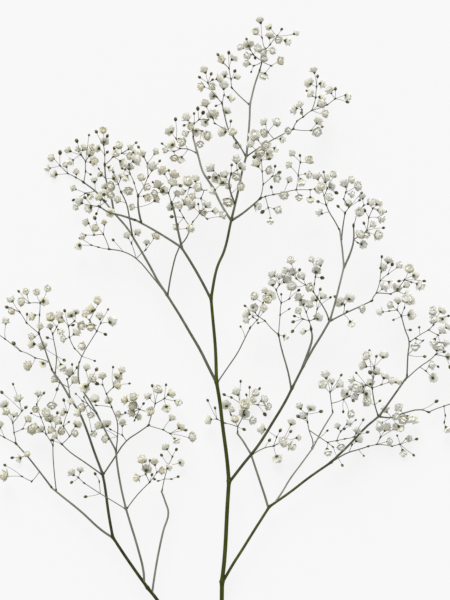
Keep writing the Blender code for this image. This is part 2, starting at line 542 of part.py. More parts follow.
def limb_line(parent, places, end_height):
    """Points and first direction of a limb that starts just off its parent."""
    root, way, radius, at_tip = nearest_on(parent, *places[0])
    points = spread(root[2], end_height, places)
    if at_tip:
        points[0] = root + way * NODE_GAP
        return points, way
    start_axis = square_to(points[1] - root, way)
    points[0] = root + start_axis * (radius + NODE_GAP)
    return points, start_axis


def knots_by_cost(knots, place):
    """Knots in the order that a new limb to this place would most naturally leave them."""
    def cost(knot):
        run = place - knot["centre"][:2]
        length = float(np.linalg.norm(run)) + 1e-6
        turn = 1.0 - float(np.dot(run / length, unit(knot["way"][:2])))
        return length * (1.0 + 0.55 * turn)
    return sorted(knots, key=cost)


def wandered(place, reach, draw):
    return place + np.array((draw.uniform(-1, 1), draw.uniform(-1, 1))) * reach


def grow_twig(space, name, growth, knots, place, draw):
    """Grows one twig to a plan place, as near it and as clear as the draws allow."""
    ordered = knots_by_cost(knots, place)
    for step in range(TRIES):
        wander = step / TRIES
        knot = ordered[min(step * 3 // TRIES, len(ordered) - 1)]
        root = knot["centre"]
        length = float(np.linalg.norm(place - root[:2]))
        rise = draw.uniform(-1, 1) * length * (0.4 + 0.5 * wander)
        height = min(max(root[2] + rise, LOWEST_TWIG), HIGHEST)
        end = np.array((*wandered(place, 3.0 * wander, draw), height))
        axis = unit(end - root)
        lean, face = growth.best_face(knot, axis)
        if lean < LEAST_LEAN or space.least_gap(name, root + axis, end + axis, TWIG_RADIUS, None) < 0:
            continue
        if space.least_gap(name, end, end + axis, TWIG_RADIUS, 0.0) < 0:
            continue
        points, faces = twig_limb(growth, face, knot, end)
        if growth.crosses(points, faces):
            continue
        places = growth.take(points, faces, face)
        knots.append({"centre": end, "way": axis, "faces": places[6:]})
        space.put(name, root, end, TWIG_RADIUS)
        return
    print("twig left out", name, place)


def grow_head(space, name, growth, knots, place, is_bloom, draw):
    """Grows one bloom or bud at a plan place, as near it and as clear as the draws allow."""
    ordered = knots_by_cost(knots, place)
    size = draw.uniform(*(BLOOM_RADII if is_bloom else BUD_RADII))
    lowest = LOWEST_BLOOM if is_bloom else LOWEST_TWIG
    for step in range(TRIES):
        wander = step / TRIES
        knot = ordered[min(step * 4 // TRIES, len(ordered) - 1)]
        root = knot["centre"]
        length = max(float(np.linalg.norm(place - root[:2])), 4.0)
        rise = draw.uniform(-1, 1) * min(length * 0.9 + 14.0 * wander, 20.0)
        height = min(max(root[2] + rise, lowest), HIGHEST)
        heart = np.array((*wandered(place, 0.4 + 3.5 * wander, draw), height))
        axis = unit(heart - root)
        if np.linalg.norm(heart - root) < size + 2.0:
            continue
        tilt = np.array([draw.gauss(0, 1) for _ in range(3)]) * 0.25
        facing = unit(axis + tilt)
        lean, face = growth.best_face(knot, axis)
        neck = heart - axis * size
        if lean < LEAST_LEAN or space.least_gap(name, root + axis, neck, PEDICEL_RADIUS, None) < 0:
            continue
        if space.least_gap(name, heart, heart, size, size * 0.3) < 0:
            continue
        make = bloom_limb if is_bloom else bud_limb
        points, faces = make(growth, face, knot, heart, facing, size)
        if growth.crosses(points, faces):
            continue
        growth.take(points, faces, face)
        space.put(name, root, heart, PEDICEL_RADIUS)
        space.put(name, heart, heart, size)
        return
    print("head left out", name, place + PLAN_CENTRE, is_bloom)


def material(name, colour, roughness):
    made = bpy.data.materials.new(name)
    made.use_nodes = True
    shader = made.node_tree.nodes["Principled BSDF"]
    shader.inputs["Base Color"].default_value = (*colour, 1.0)
    shader.inputs["Roughness"].default_value = roughness
    made.diffuse_color = (*colour, 1.0)
    return made


def mesh_object(name, growth, paint):
    """An object from a closed surface, with petals that would go through the table laid flat on it."""
    mesh = bpy.data.meshes.new(name)
    points = [Vector((p[0], p[1], max(p[2], 0.0))) * MM for p in growth.points]
    mesh.from_pydata(points, [], [f for f in growth.faces if f is not None])
    mesh.materials.append(paint)
    made = bpy.data.objects.new(name, mesh)
    bpy.context.scene.collection.objects.link(made)
    return made


def build():
    for obj in list(bpy.data.objects):
        bpy.data.objects.remove(obj)
    draw = random.Random(SEED)
    space = Space()
    green = material("stem_green", (0.075, 0.105, 0.030), 0.6)
    fresh = material("branch_green", (0.17, 0.20, 0.085), 0.6)
    cream = material("bloom_cream", (0.80, 0.79, 0.66), 0.7)

    main_points = [plan(u, v, h) for u, v, h, _ in MAIN_STEM]
    main_radii = [-r * KNOT_SWELL if r < 0 else r for _, _, _, r in MAIN_STEM]
    mesh_object("main_stem", tube(main_points, main_radii, STEM_SIDES), green)
    space.put_path("main_stem", main_points, main_radii)
    paths = {"main_stem": (main_points, main_radii)}

    for name, parent, first_radius, last_radius, end_height, places in BRANCHES:
        points, start_axis = limb_line(paths[parent], places, end_height)
        steps = len(points) - 1
        radii = [first_radius + (last_radius - first_radius) * i / steps for i in range(len(points))]
        mesh_object(name, tube(points, radii, BRANCH_SIDES, start_axis), fresh)
        space.put_path(name, points, radii)
        paths[name] = (points, radii)

    sprays = {}
    for name, parent, stalk_height, places, _, _, _ in SPRAYS:
        points, start_axis = limb_line(paths[parent], places, stalk_height)
        radii = [STALK_RADIUS] * len(points)
        space.put_path(name, points, radii)
        paths[name] = (points, radii)
        sprays[name] = stalk(points, start_axis)
    for name, _, _, _, forks, _, _ in SPRAYS:
        growth, knots = sprays[name]
        for across, down in forks:
            grow_twig(space, name, growth, knots, plan(across, down, 0)[:2], draw)
    for name, _, _, _, _, blooms, buds in SPRAYS:
        growth, knots = sprays[name]
        for across, down in blooms:
            grow_head(space, name, growth, knots, plan(across, down, 0)[:2], True, draw)
        for across, down in buds:
            grow_head(space, name, growth, knots, plan(across, down, 0)[:2], False, draw)
        mesh_object(name, growth, cream)


build()
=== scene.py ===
"""Looks of a cut stem of double gypsophila lying on a pale surface, seen from above.

Plan places are (across, down) in millimetres, with height in millimetres above the surface. Stems and
twigs are listed one by one; pedicels, heights and the way each bloom faces follow one seeded rule.
"""

import math
import random

import bmesh
import bpy
import numpy as np
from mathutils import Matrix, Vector
from mathutils.bvhtree import BVHTree

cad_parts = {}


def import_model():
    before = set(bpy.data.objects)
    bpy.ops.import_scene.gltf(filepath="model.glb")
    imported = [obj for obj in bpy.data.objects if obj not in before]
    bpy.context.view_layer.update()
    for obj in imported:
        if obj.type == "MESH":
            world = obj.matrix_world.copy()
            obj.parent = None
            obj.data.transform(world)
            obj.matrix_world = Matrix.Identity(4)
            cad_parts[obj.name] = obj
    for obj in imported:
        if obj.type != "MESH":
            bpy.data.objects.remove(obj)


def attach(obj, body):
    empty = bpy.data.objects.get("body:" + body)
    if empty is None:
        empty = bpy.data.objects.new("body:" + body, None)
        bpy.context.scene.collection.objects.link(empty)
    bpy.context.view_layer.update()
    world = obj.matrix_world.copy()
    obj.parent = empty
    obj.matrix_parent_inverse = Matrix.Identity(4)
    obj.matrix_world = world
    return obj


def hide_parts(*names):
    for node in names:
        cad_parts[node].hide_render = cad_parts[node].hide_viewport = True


# Driving sizes, in millimetres
MM = 0.001
PLAN_CENTRE = (228.0, 383.0)
SEED = 11
NODE_GAP = 0.3
CLEAR = 0.45
STALK_RADIUS = 0.85
TWIG_RADIUS = 0.68
PEDICEL_RADIUS = 0.55
KNOT_SWELL = 1.3
KNOT_LENGTH = 1.3
BLOOM_RADII = (3.1, 4.2)
BLOOM_PETALS = 4
BUD_RADII = (1.0, 1.5)
LOWEST_BLOOM = 2.9
LOWEST_TWIG = 1.4
HIGHEST = 108.0
TRIES = 60
LEAST_LEAN = 0.3

# How a limb looks for its place: the cost of a turn, how many of the nearest knots it tries, how far it
# may rise or sink for its length, and how far it may wander across; the second number grows with the tries
TURN_COST = 0.55
TWIG_KNOTS = 3
TWIG_RISE = (0.4, 0.5)
TWIG_WANDER = 3.0
HEAD_KNOTS = 4
HEAD_RISE = (0.9, 14.0)
HIGHEST_RISE = 20.0
HEAD_WANDER = (0.4, 3.5)
LEAST_RUN = 4.0
LEAST_PEDICEL = 2.0
FACING_TILT = 0.25
HEAD_PRESS = 0.3

# A bloom of the solids, as shares of its radius: its neck, the corners of its rim and its middle
NECK_DROP = 0.62
RIM_CORNERS = ((1.0, 0.30), (0.66, 0.12))
MIDDLE_RISE = 0.55

# A bud of the solids, as shares of its radius: its foot, waist and tip
BUD_FOOT = 1.1
BUD_WAIST = 1.15
BUD_TIP = 1.3

# The main stem: across, down, height, radius; a negative radius marks a swollen knot
MAIN_STEM = [
    (214, 748, 2.4, 2.6), (214.5, 725, 4.2, 2.5), (216.5, 694, 7, -2.4), (219, 645, 11, 2.3),
    (221.5, 610, 15, 2.3), (222, 584, 17, -2.3), (224.5, 560, 19, 2.2), (227.5, 505, 25, 2.1),
    (229, 482, 28, -2.1), (227, 460, 30, 2.0), (222.5, 425, 34, 1.9), (219.5, 400, 36, 1.9),
    (216.5, 382, 38, -1.9), (215.5, 350, 41, 1.7), (212.5, 315, 43, 1.6), (211, 298, 44, -1.6),
    (217, 268, 45, 1.4), (224.5, 250, 46, 1.4), (231.5, 219.5, 46, -1.3), (238, 192, 46, 1.2),
    (243, 168, 45, 1.1), (246.5, 155.5, 45, -1.1), (249.5, 120, 44, 1.0), (250, 104, 43, -1.0),
    (255, 84, 42, 0.9), (259.5, 71, 42, 0.9),
]

# Side branches: name, parent, first and last radius, last height, places along it
BRANCHES = [
    ("lower_branch", "main_stem", 1.9, 0.9, 36, [
        (216.5, 694), (203, 672), (184, 645), (168, 620), (155, 600), (147, 590), (137, 576), (122, 554),
        (112, 538.5), (108, 515), (104, 485), (102, 474.5), (94, 453), (85, 427), (79, 413), (69, 397),
        (62, 385), (51.5, 370)]),
    ("lower_left_branch", "lower_branch", 1.2, 0.9, 17, [
        (112, 538.5), (100, 531), (80, 513), (60, 497), (50, 489)]),
    ("lower_middle_branch", "lower_branch", 1.3, 0.8, 64, [
        (142.5, 584), (143, 574), (137, 548), (130, 524), (125.5, 508.5), (121, 488), (117, 462),
        (116, 450), (107, 433), (97, 412.5), (90, 400), (82, 387), (79.5, 378), (80, 362)]),
    ("lower_right_branch", "lower_branch", 1.0, 0.8, 24, [
        (150.5, 594.5), (154, 578), (158, 555), (163, 532), (168, 514), (165, 503), (161, 492)]),
    ("right_branch", "main_stem", 1.6, 1.0, 34, [
        (222, 584), (230, 567), (238, 552), (250, 535), (269.5, 508), (290, 493.5), (310, 478),
        (331.5, 463), (350, 445), (367, 427), (380, 416), (392, 399), (408, 376)]),
    ("right_rear_branch", "right_branch", 1.0, 0.8, 13, [
        (269.5, 508), (265, 497), (261, 485), (256, 470), (251, 455), (243, 442), (237, 434)]),
    ("right_inner_branch", "right_branch", 1.1, 0.8, 50, [
        (276, 503), (283, 492), (290, 480), (300, 466), (312.5, 448.5), (322, 430), (333, 411.5)]),
    ("high_right_branch", "main_stem", 1.5, 0.8, 70, [
        (229, 482), (243, 465), (258, 446), (273, 422), (286, 400), (292, 388), (303, 366), (313, 348),
        (321, 335), (329.5, 320), (334, 304), (338, 288), (343, 267), (341, 248), (338.5, 230)]),
    ("left_branch", "main_stem", 1.5, 0.9, 11, [
        (216.5, 382), (208, 366), (200, 350), (190, 333), (180, 316), (166.5, 294.5), (157, 280),
        (150, 267), (136, 243), (126, 227), (112, 211), (103, 200)]),
    ("high_left_branch", "main_stem", 1.3, 0.9, 62, [
        (211, 298), (200, 278), (187, 256), (181.5, 247.5), (170, 240), (150, 228), (136, 220.5)]),
    ("upper_left_branch", "main_stem", 1.1, 0.8, 40, [
        (231.5, 219.5), (222, 206), (213, 188), (203, 172), (197, 152), (193, 137)]),
]

# Sprays: name, parent, last height of the stalk, stalk places, twig forks, blooms, buds
SPRAYS = [
    ("tip_spray", "main_stem", 46, [(259.5, 71), (262, 62), (265, 50)],
     [(254, 66), (271, 66), (262, 38), (253, 55), (270, 45), (277, 36), (250, 50)],
     [(260.5, 21), (256, 33), (270, 27), (270, 36), (263, 52), (272, 52), (263, 60), (258, 50), (249, 56),
      (248, 64), (248, 45), (241, 49), (264, 75), (280, 62), (278, 40), (287, 41), (295, 33)],
     [(246, 40), (282, 29), (255, 58), (251, 72)]),
    ("shoulder_spray", "main_stem", 40, [(250, 104), (240, 96.5), (232, 88)],
     [(231, 79), (229, 68)],
     [(233, 58), (222, 61), (236, 77), (224, 75)], [(218, 55), (229, 52), (235, 70)]),
    ("high_left_spray", "main_stem", 52, [(246.5, 155.5), (237, 142), (229, 131), (225, 118), (222, 104)],
     [(215, 124), (217, 98), (224, 96), (213, 119), (210, 90), (208, 84)],
     [(238, 143), (233, 134), (224, 132), (227, 112), (230, 98), (206, 105), (224, 88), (218, 80),
      (212, 88),
      (202, 88), (205, 72), (212, 116), (213, 96)],
     [(200, 78), (211, 75), (216, 107), (231, 122), (213, 80)]),
    ("high_right_spray", "main_stem", 36, [(246.5, 155.5), (256, 150), (262, 146), (274, 139), (293, 129)],
     [(297, 121), (303, 117), (312, 110), (327, 105), (335, 99), (311, 130), (302, 110),
      (316, 97), (317, 86),
      (268, 132), (258, 140)],
     [(289, 131), (282, 139), (275, 148), (266, 145), (265, 133), (255, 136), (264, 123), (276, 123),
      (251, 145), (259, 152), (269, 155), (300, 105), (295, 109), (310, 82), (314, 70), (322, 83),
      (311, 94),
      (320, 104), (325, 114), (321, 96), (330, 92), (347, 96), (317, 132), (318, 121)],
     [(318, 76), (307, 90), (301, 113), (335, 89), (347, 102), (323, 127)]),
    ("centre_right_spray", "main_stem", 54, [(231.5, 219.5), (242, 214), (252, 206), (260, 199)],
     [(265, 197), (263, 185), (262, 172), (261, 161), (273, 195), (284, 193), (296, 190), (310, 190),
      (298, 176), (300, 163), (268, 208), (272, 177)],
     [(257, 206), (283, 195), (301, 181), (292, 155), (307, 175), (289, 166), (308, 162), (289, 181),
      (268, 153), (257, 165), (268, 171), (276, 179), (299, 197), (310, 199), (270, 220), (276, 210),
      (317, 189)],
     [(300, 156), (254, 158), (269, 160), (275, 167), (279, 173), (271, 187), (262, 212)]),
    ("heart_spray", "main_stem", 62, [(235.5, 203), (231, 194), (229, 184), (231, 175)],
     [(237, 171), (222, 184), (219, 176)],
     [(236, 162), (241, 168), (225, 176), (222, 183), (229, 188), (214, 191), (212, 170), (216, 178),
      (228, 202), (240, 187), (238, 176)], [(232, 166), (209, 178)]),
    ("shelf_spray", "upper_left_branch", 28, [(213, 188), (204, 190), (196, 188)],
     [(190, 187), (201, 198)],
     [(188, 182), (195, 179), (200, 189), (183, 191), (203, 211), (193, 197)], [(186, 197), (207, 203)]),
    ("crown_left_spray", "upper_left_branch", 44, [(193, 137), (193, 130), (194, 124)],
     [(199, 120), (190, 123), (202, 131), (208, 120)],
     [(187, 119), (205, 122), (213, 115), (192, 128), (187, 133), (197, 131), (207, 136), (200, 144)],
     [(194, 114), (198, 109), (203, 113), (184, 126)]),
    ("crown_far_left_spray", "upper_left_branch", 30, [(197, 152), (188, 149), (180, 148)],
     [(176, 138), (174, 151)],
     [(183, 143), (170, 130), (172, 144), (181, 158), (174, 157), (166, 150)],
     [(175, 118), (162, 143), (179, 138)]),
    ("low_heart_spray", "right_rear_branch", 9, [(237, 434), (238, 428), (242, 420), (244, 413)],
     [(225, 424), (217, 420), (249, 405), (258, 406), (240, 404), (231, 416)],
     [(209, 421), (231, 411), (226, 406), (235, 420), (237, 394), (245, 406), (256, 395), (253, 401),
      (264, 401), (268, 407), (252, 421), (243, 415)],
     [(215, 409), (208, 402), (241, 382), (250, 388), (247, 396), (260, 390), (224, 396), (231, 398),
      (265, 416), (244, 431)]),
    ("low_side_spray", "right_rear_branch", 18, [(251, 455), (257, 453), (265, 449), (274, 447)],
     [(283, 442), (277, 438)],
     [(284, 443), (291, 447), (298, 439), (278, 459), (292, 425), (263, 430)],
     [(291, 432), (281, 431), (270, 441)]),
    ("inner_side_spray", "right_inner_branch", 42, [(312.5, 448.5), (313, 443), (309, 430), (307.5, 422)],
     [(307, 414), (328, 443), (337, 441), (345, 439), (341, 432), (354, 437), (333, 447)],
     [(300, 407), (311, 408), (304, 417), (328, 451), (338, 427), (341, 446), (357, 432), (349, 424)],
     [(321, 411), (298, 416), (363, 420), (345, 429), (328, 431), (368, 432), (342, 465), (356, 420)]),
    ("inner_tip_spray", "right_inner_branch", 54, [(333, 411.5), (331, 403), (329.5, 392)],
     [(343, 399), (349, 396)],
     [(325, 376), (331, 381), (338, 385), (352, 388), (346, 393), (349, 413), (323, 385)],
     [(341, 375), (343, 411), (353, 400)]),
    ("right_low_spray", "right_branch", 5, [(331.5, 463), (342, 457), (350, 453.5), (360, 451),
                                            (370, 448)],
     [(378.5, 446), (353, 446), (382, 439), (394, 448), (402, 446)],
     [(388, 430), (396, 429), (390, 443), (410, 440), (405, 454), (381, 431), (359, 441)],
     [(419.5, 441), (416.5, 457), (365, 457), (399, 437)]),
    ("right_middle_spray", "right_branch", 44, [(380, 416), (375, 405), (373, 395), (372, 388)],
     [(373, 378), (374, 367), (381, 384.5), (366, 385), (363, 392)],
     [(366, 356), (364, 366), (384, 356), (384, 377), (390, 381), (397, 382), (371, 383), (353, 380),
      (357, 388), (362, 387), (356, 396), (366, 394), (368, 402), (376, 372)],
     [(376, 356), (356, 373), (370, 372), (380, 401), (371, 352)]),
    ("right_edge_spray", "right_branch", 16, [(380, 416), (392, 418), (404, 414), (423, 410.5),
                                              (430, 413)],
     [(446, 407), (447, 416), (446, 423), (460, 403), (462, 416), (459, 427)],
     [(381, 424), (387, 411), (395, 417), (400, 409), (404, 420), (401, 428), (410, 418), (416, 420),
      (457, 395), (468, 397), (470, 406), (472, 415), (467, 423), (459, 434), (469, 432), (449, 430)],
     [(463, 389), (477, 402), (479, 411), (438, 402), (475, 425)]),
    ("right_high_spray", "right_branch", 46, [(408, 376), (408, 355), (409, 341), (405, 330), (401, 316)],
     [(397, 310), (389, 311), (404, 308), (422, 340), (416, 338)],
     [(381, 312), (391, 306), (410, 315), (398, 302), (405, 300), (415, 346)],
     [(410, 330), (424, 356), (393, 320)]),
    ("right_shoulder_spray", "right_high_spray", 34, [(409, 341), (420, 335), (429, 330)],
     [(434, 325), (438, 335), (437, 318)],
     [(434, 320), (441, 331), (448, 327), (434, 341), (433, 311), (443, 311), (444, 319), (440, 345)],
     [(419, 327), (450, 316)]),
    ("right_far_spray", "right_branch", 38, [(405, 380), (420, 367), (430, 360), (436, 354.5)],
     [(426, 371), (447, 357), (456, 354)],
     [(438, 349), (449, 357), (431, 366), (434, 378), (458, 347), (463, 356), (446, 343)],
     [(444, 352), (439, 367), (450, 367), (465, 347)]),
    ("fan_left_spray", "high_right_branch", 46, [(292, 388), (288, 372), (281, 347), (278.5, 335)],
     [(265, 321), (258, 316), (280, 315), (281, 303), (276, 290), (289, 309), (289, 299), (263, 303),
      (279, 285)],
     [(248, 314), (254, 310), (255, 297), (265, 292), (271, 296), (272, 284), (273, 275), (279, 277),
      (285, 281), (285, 272), (291, 287), (285, 336), (266, 299)],
     [(245, 306), (299, 290), (281, 294), (258, 323)]),
    ("hand_spray", "main_stem", 44, [(216.5, 382), (228, 367), (238, 352), (245, 338), (250, 328)],
     [(257, 320), (253, 317)],
     [(263, 310), (247, 320)], [(253, 307), (241, 327)]),
    ("fan_middle_spray", "high_right_branch", 44, [(303, 366), (308, 352), (312, 338), (311, 329)],
     [(309, 321), (306, 312), (314, 319), (317, 309), (303, 319)],
     [(299, 298), (299, 312), (304, 331), (309, 305), (322, 297), (304, 304), (315, 299), (318, 318)],
     [(293, 322), (295, 316), (292, 331), (330, 297)]),
    ("fan_upper_spray", "high_right_branch", 56, [(329.5, 320), (326, 313), (321, 304), (317, 298)],
     [(313, 292), (314, 284), (315, 277), (305, 285), (296, 279)],
     [(311, 261), (319, 264), (316, 271), (290, 262), (292, 273), (302, 277), (308, 286)],
     [(322, 278), (320, 289), (299, 270), (296, 287)]),
    ("fan_right_spray", "high_right_branch", 50, [(329.5, 320), (343, 314), (356, 308), (371, 301)],
     [(376, 293), (380, 281), (381, 272), (388, 274), (390, 294), (397, 291), (404, 280), (344, 305)],
     [(340, 303), (349, 298), (360, 309), (382, 267), (388, 261), (398, 266), (383, 288), (390, 283),
      (398, 288), (405, 286), (419, 285), (408, 269), (415, 275), (406, 294), (411, 300), (351, 323)],
     [(346, 311), (335, 297), (382, 257), (392.5, 264), (424, 281), (399, 281), (411, 283)]),
    ("peak_left_spray", "high_right_branch", 76, [(338.5, 230), (333, 221), (328, 213), (325, 206)],
     [(323, 197), (326, 190)],
     [(316, 179), (325, 181), (332, 177), (320, 189), (330, 188), (328, 200), (319, 214)],
     [(335, 194), (317, 203), (322, 174)]),
    ("peak_spray", "high_right_branch", 66, [(340, 240), (342, 226), (344, 214)],
     [(348, 208), (343, 200), (345, 193)],
     [(344, 186), (350, 181), (356, 187), (350, 195), (348, 205)],
     [(358, 201), (360, 194), (337, 207)]),
    ("peak_right_spray", "high_right_branch", 52, [(343, 267), (350, 252), (353, 240), (353, 226)],
     [(357, 243), (366, 231), (356, 214), (368, 218), (372, 209), (363, 206)],
     [(362, 245), (358, 236), (365, 234), (371, 226), (376, 236), (379, 219), (359, 213), (369, 203),
      (362, 198), (377, 204), (379, 211)],
     [(385, 212), (363, 224), (364, 211), (383, 228)]),
    ("left_low_spray", "left_branch", 30, [(166.5, 294.5), (150, 274), (136, 258.5), (123, 251.5),
                                           (109, 249)],
     [(98, 247), (91, 245), (103, 234), (94, 235), (131, 243), (145, 250)],
     [(78, 245), (95, 229), (87, 223), (104, 223), (127, 236), (136, 233), (146, 243), (155, 237),
      (84, 236)],
     [(95, 218), (80, 238), (113, 240)]),
    ("left_inner_spray", "left_branch", 50, [(166.5, 294.5), (172, 270), (179, 248), (187, 237),
                                             (190.5, 227)],
     [(184, 218), (180, 211), (193, 222), (200, 213), (207, 219)],
     [(179, 207), (207, 206), (214, 211), (186, 203), (192, 206), (222, 216), (177, 226)],
     [(172, 217), (198, 204)]),
    ("left_tip_spray", "left_branch", 5, [(103, 200), (94, 190), (82, 181)],
     [(84, 170), (84, 160), (79, 153), (74, 176), (66, 172), (58, 164), (84, 192)],
     [(64, 164), (50, 157), (46, 167), (53, 173), (75, 171), (91, 147), (82, 147), (77, 149), (67, 149),
      (88, 153), (91, 160), (93, 180), (87, 194), (73, 188), (75, 206), (70, 160)],
     [(58, 151), (76, 139), (89, 134), (89, 173), (72, 199)]),
    ("left_crown_spray", "left_branch", 22, [(112, 211), (110, 195), (105, 178), (104, 164)],
     [(104, 154), (103, 144), (112, 156), (121, 152), (98, 168)],
     [(103, 131), (104, 141), (97, 147), (114, 155), (121, 161), (119, 145), (129, 147), (134, 151),
      (128, 155), (100, 174), (109, 167), (114, 177), (104, 186), (110, 195)],
     [(96, 131), (107, 135), (113, 147), (107, 151), (136, 142)]),
    ("left_back_spray", "left_branch", 34, [(131, 235), (129, 218), (126, 203), (121, 192)],
     [(118, 184), (126, 188)],
     [(121, 176), (128, 190), (112, 186), (118, 200)], [(113, 172), (124, 168)]),
    ("shelf_left_spray", "high_left_branch", 52, [(136, 220.5), (122, 216), (110, 213), (100, 207)],
     [(92, 206), (106, 202)],
     [(81, 202), (90, 209), (100, 199), (110, 213), (104, 194)], [(86, 198), (97, 214)]),
    ("crest_left_spray", "high_left_branch", 72, [(140.5, 223), (139, 208), (139, 197)],
     [(135, 184), (131, 175), (130, 166), (145, 188), (149, 178), (148, 165)],
     [(134, 208), (147, 198), (156, 200), (153, 170), (156, 155), (144, 157), (131, 168), (136, 162),
      (127, 178), (142, 180), (148, 188)], [(140, 149), (161, 163), (123, 170)]),
    ("crest_inner_spray", "high_left_branch", 60, [(181.5, 247.5), (178, 230), (174.5, 212), (172, 204)],
     [(169, 194), (172, 186), (162, 193)],
     [(172, 184), (175, 178), (164, 173), (159, 187), (164, 191), (177, 195), (172, 208), (189, 229),
      (156, 194)], [(169, 172), (181, 187), (154, 183)]),
    ("corner_left_spray", "lower_left_branch", 11, [(50, 489), (38, 473), (25, 457), (14, 445)],
     [(12, 434), (11, 424), (2, 439), (-10, 433), (21, 430), (20, 412), (30, 483), (20, 478)],
     [(12, 416), (5, 413), (2, 406), (26, 421), (17, 400), (30, 430), (26, 456), (-14, 423), (-21, 432),
      (-14, 441), (-3, 428), (4, 477), (17, 460)],
     [(1, 394), (24, 408), (12, 385), (-22, 424), (2, 467), (10, 459)]),
    ("corner_up_spray", "lower_left_branch", 24, [(54, 492), (53, 472), (52, 455), (52, 446)],
     [(45, 435), (54, 432), (40, 418), (36, 405)],
     [(54, 421), (48, 421), (45, 415), (49, 432), (40, 431), (35, 427), (35, 409), (38, 395), (60, 432)],
     [(57, 413), (44, 393), (30, 414)]),
    ("net_left_spray", "lower_branch", 44, [(102, 474.5), (85, 463), (70, 452), (62, 444)],
     [(70, 436), (64, 426), (68, 412)],
     [(77, 425), (74, 433), (65, 411), (71, 402), (56, 436), (60, 421)],
     [(70, 421), (64, 400), (52, 440)]),
    ("net_right_spray", "lower_branch", 28, [(102, 474.5), (113, 460), (126, 441.5), (138, 433),
                                             (148, 426)],
     [(152, 413), (155, 404), (139, 410), (163, 430), (170, 434), (122, 436), (110, 430), (134, 421),
      (164, 399)],
     [(148, 397), (158, 390), (170, 394), (177, 402), (166, 408), (150, 412), (134, 398), (134, 407),
      (125, 401), (132, 413), (137, 418), (119, 415), (122, 424), (106, 425), (171, 419), (176, 440),
      (180, 428), (191, 437)],
     [(152, 386), (166, 385), (143, 404), (186, 430)]),
    ("middle_right_spray", "lower_middle_branch", 50, [(125.5, 508.5), (138, 494), (150, 481.5)],
     [(146, 474), (157, 472)],
     [(138, 477), (147, 469), (142, 460), (155, 463), (161, 470), (168, 468)], [(152, 474), (150, 459)]),
    ("middle_left_spray", "lower_middle_branch", 34, [(125.5, 508.5), (110, 500), (100, 494), (84, 483.5)],
     [(99, 482), (78, 478)],
     [(72, 474), (80, 471)], [(85, 497), (95, 474), (71, 483)]),
    ("low_right_spray", "lower_right_branch", 20, [(161, 492), (164, 480), (168, 466)],
     [(172, 458), (158, 482), (171, 480)],
     [(166, 450), (180, 464)], [(176, 451), (178, 478), (154, 480), (161, 457)]),
    ("net_middle_spray", "lower_middle_branch", 76, [(116, 450), (118, 436), (118, 420), (113, 406)],
     [(108, 393), (115, 386), (104, 384), (98, 404)],
     [(110, 401), (97, 399), (118, 384), (119, 376), (104, 376), (123, 370), (101, 425), (107, 438)],
     [(98, 383), (114, 367), (130, 383), (126, 412)]),
    ("net_upper_spray", "lower_middle_branch", 84, [(97, 412.5), (90, 404), (86, 396)],
     [(90, 384), (84, 400)],
     [(88, 368), (94, 378), (86, 385), (84, 406), (80, 411), (92, 413), (93, 432)],
     [(99, 368), (78, 393)]),
    ("arch_spray", "lower_middle_branch", 70, [(80, 362), (83, 356), (88, 347), (93, 339), (98, 331)],
     [(102, 323), (91, 320), (96, 310), (76, 348), (71, 337), (70, 326), (76, 321)],
     [(92, 324), (87, 315), (93, 311), (99, 302), (101, 317), (112, 321), (84, 346), (83, 325), (66, 338),
      (72, 315), (77, 312), (62, 316), (77, 333)],
     [(109, 309), (95, 361), (106, 334), (66, 311), (74, 325)]),
    ("far_left_up_spray", "lower_branch", 40, [(51.5, 370), (49, 362), (45, 350), (39, 333.5)],
     [(39.5, 315), (27, 323), (20, 312), (40, 303), (29, 303), (35, 358), (20, 351), (5, 339), (-6, 331)],
     [(13, 311), (12, 300), (26, 293), (23, 302), (37, 293), (48, 290), (43, 302), (33, 316), (40, 328),
      (33, 337), (32, 344), (6, 322), (42, 364), (29, 366), (-9, 321), (-17, 330), (-12, 338)],
     [(27, 314), (18, 291), (7, 307), (-20, 321), (14, 343)]),
    ("far_left_middle_spray", "lower_branch", 28, [(54, 373.5), (56, 356), (53, 340), (52, 334)],
     [(56, 327)],
     [(51, 318), (50, 328), (59, 331), (59, 321), (43, 347), (61, 367)], [(64, 360), (47, 338)]),
    ("far_left_low_spray", "lower_branch", 20, [(69, 397), (68, 388), (66, 380)],
     [(72, 374), (59, 383)],
     [(68, 375), (74, 381), (53, 404), (55, 380)], [(71, 365), (77, 368), (56, 390)]),
]

# Looks: sizes in millimetres, shares as plain numbers
FINE_SEED = 23
STALK_FINE = (0.56, 0.45)
TWIG_FINE = 0.24
TWIG_GAIN = 0.06
TWIG_TAPER = (1.15, 1.0, 0.9)
TWIG_BOW = 0.035
PEDICEL_FINE = 0.21
BLOOM_PEDICEL_TAPER = (1.3, 1.0, 1.2)
BUD_PEDICEL_TAPER = (1.3, 1.0, 1.0)
PEDICEL_BOW = 0.05
LOWEST_STALK = 0.7
LOWEST_PETAL = 0.05
SAME_PLACE = 0.001
BLOOM_SPREAD = (1.35, 1.72)
BUD_SPREAD = (1.0, 1.45)
BLOOM_OPENNESS = (1.0, 0.93, 0.86, 0.78, 0.7, 0.97)
BRACT_LENGTHS = (1.9, 2.8)
BRACT_DROP = 0.3
STALK_SWELLING = 1.1
STALK_KNOT_REACH = 1.6
ROOT_DROP = 1.5
TIP_ROOT_DROP = 1.2

# The swelling of a limb at a knot: how far before or after it, and the share of the limb's radius
KNOT_REACH = 5.0
KNOT_PROFILE = [(-1.0, 1.0), (-0.35, 1.12), (0.0, 1.38), (0.45, 1.1), (1.0, 0.98)]
KNOT_NEAR = 6.0

# Points of a limb drawn a little to the right of its solid, as the photo shows: place in its line, shift
LIMB_SHIFTS = {"right_branch": {1: 2.5, 2: 4.0, 3: 2.5}}

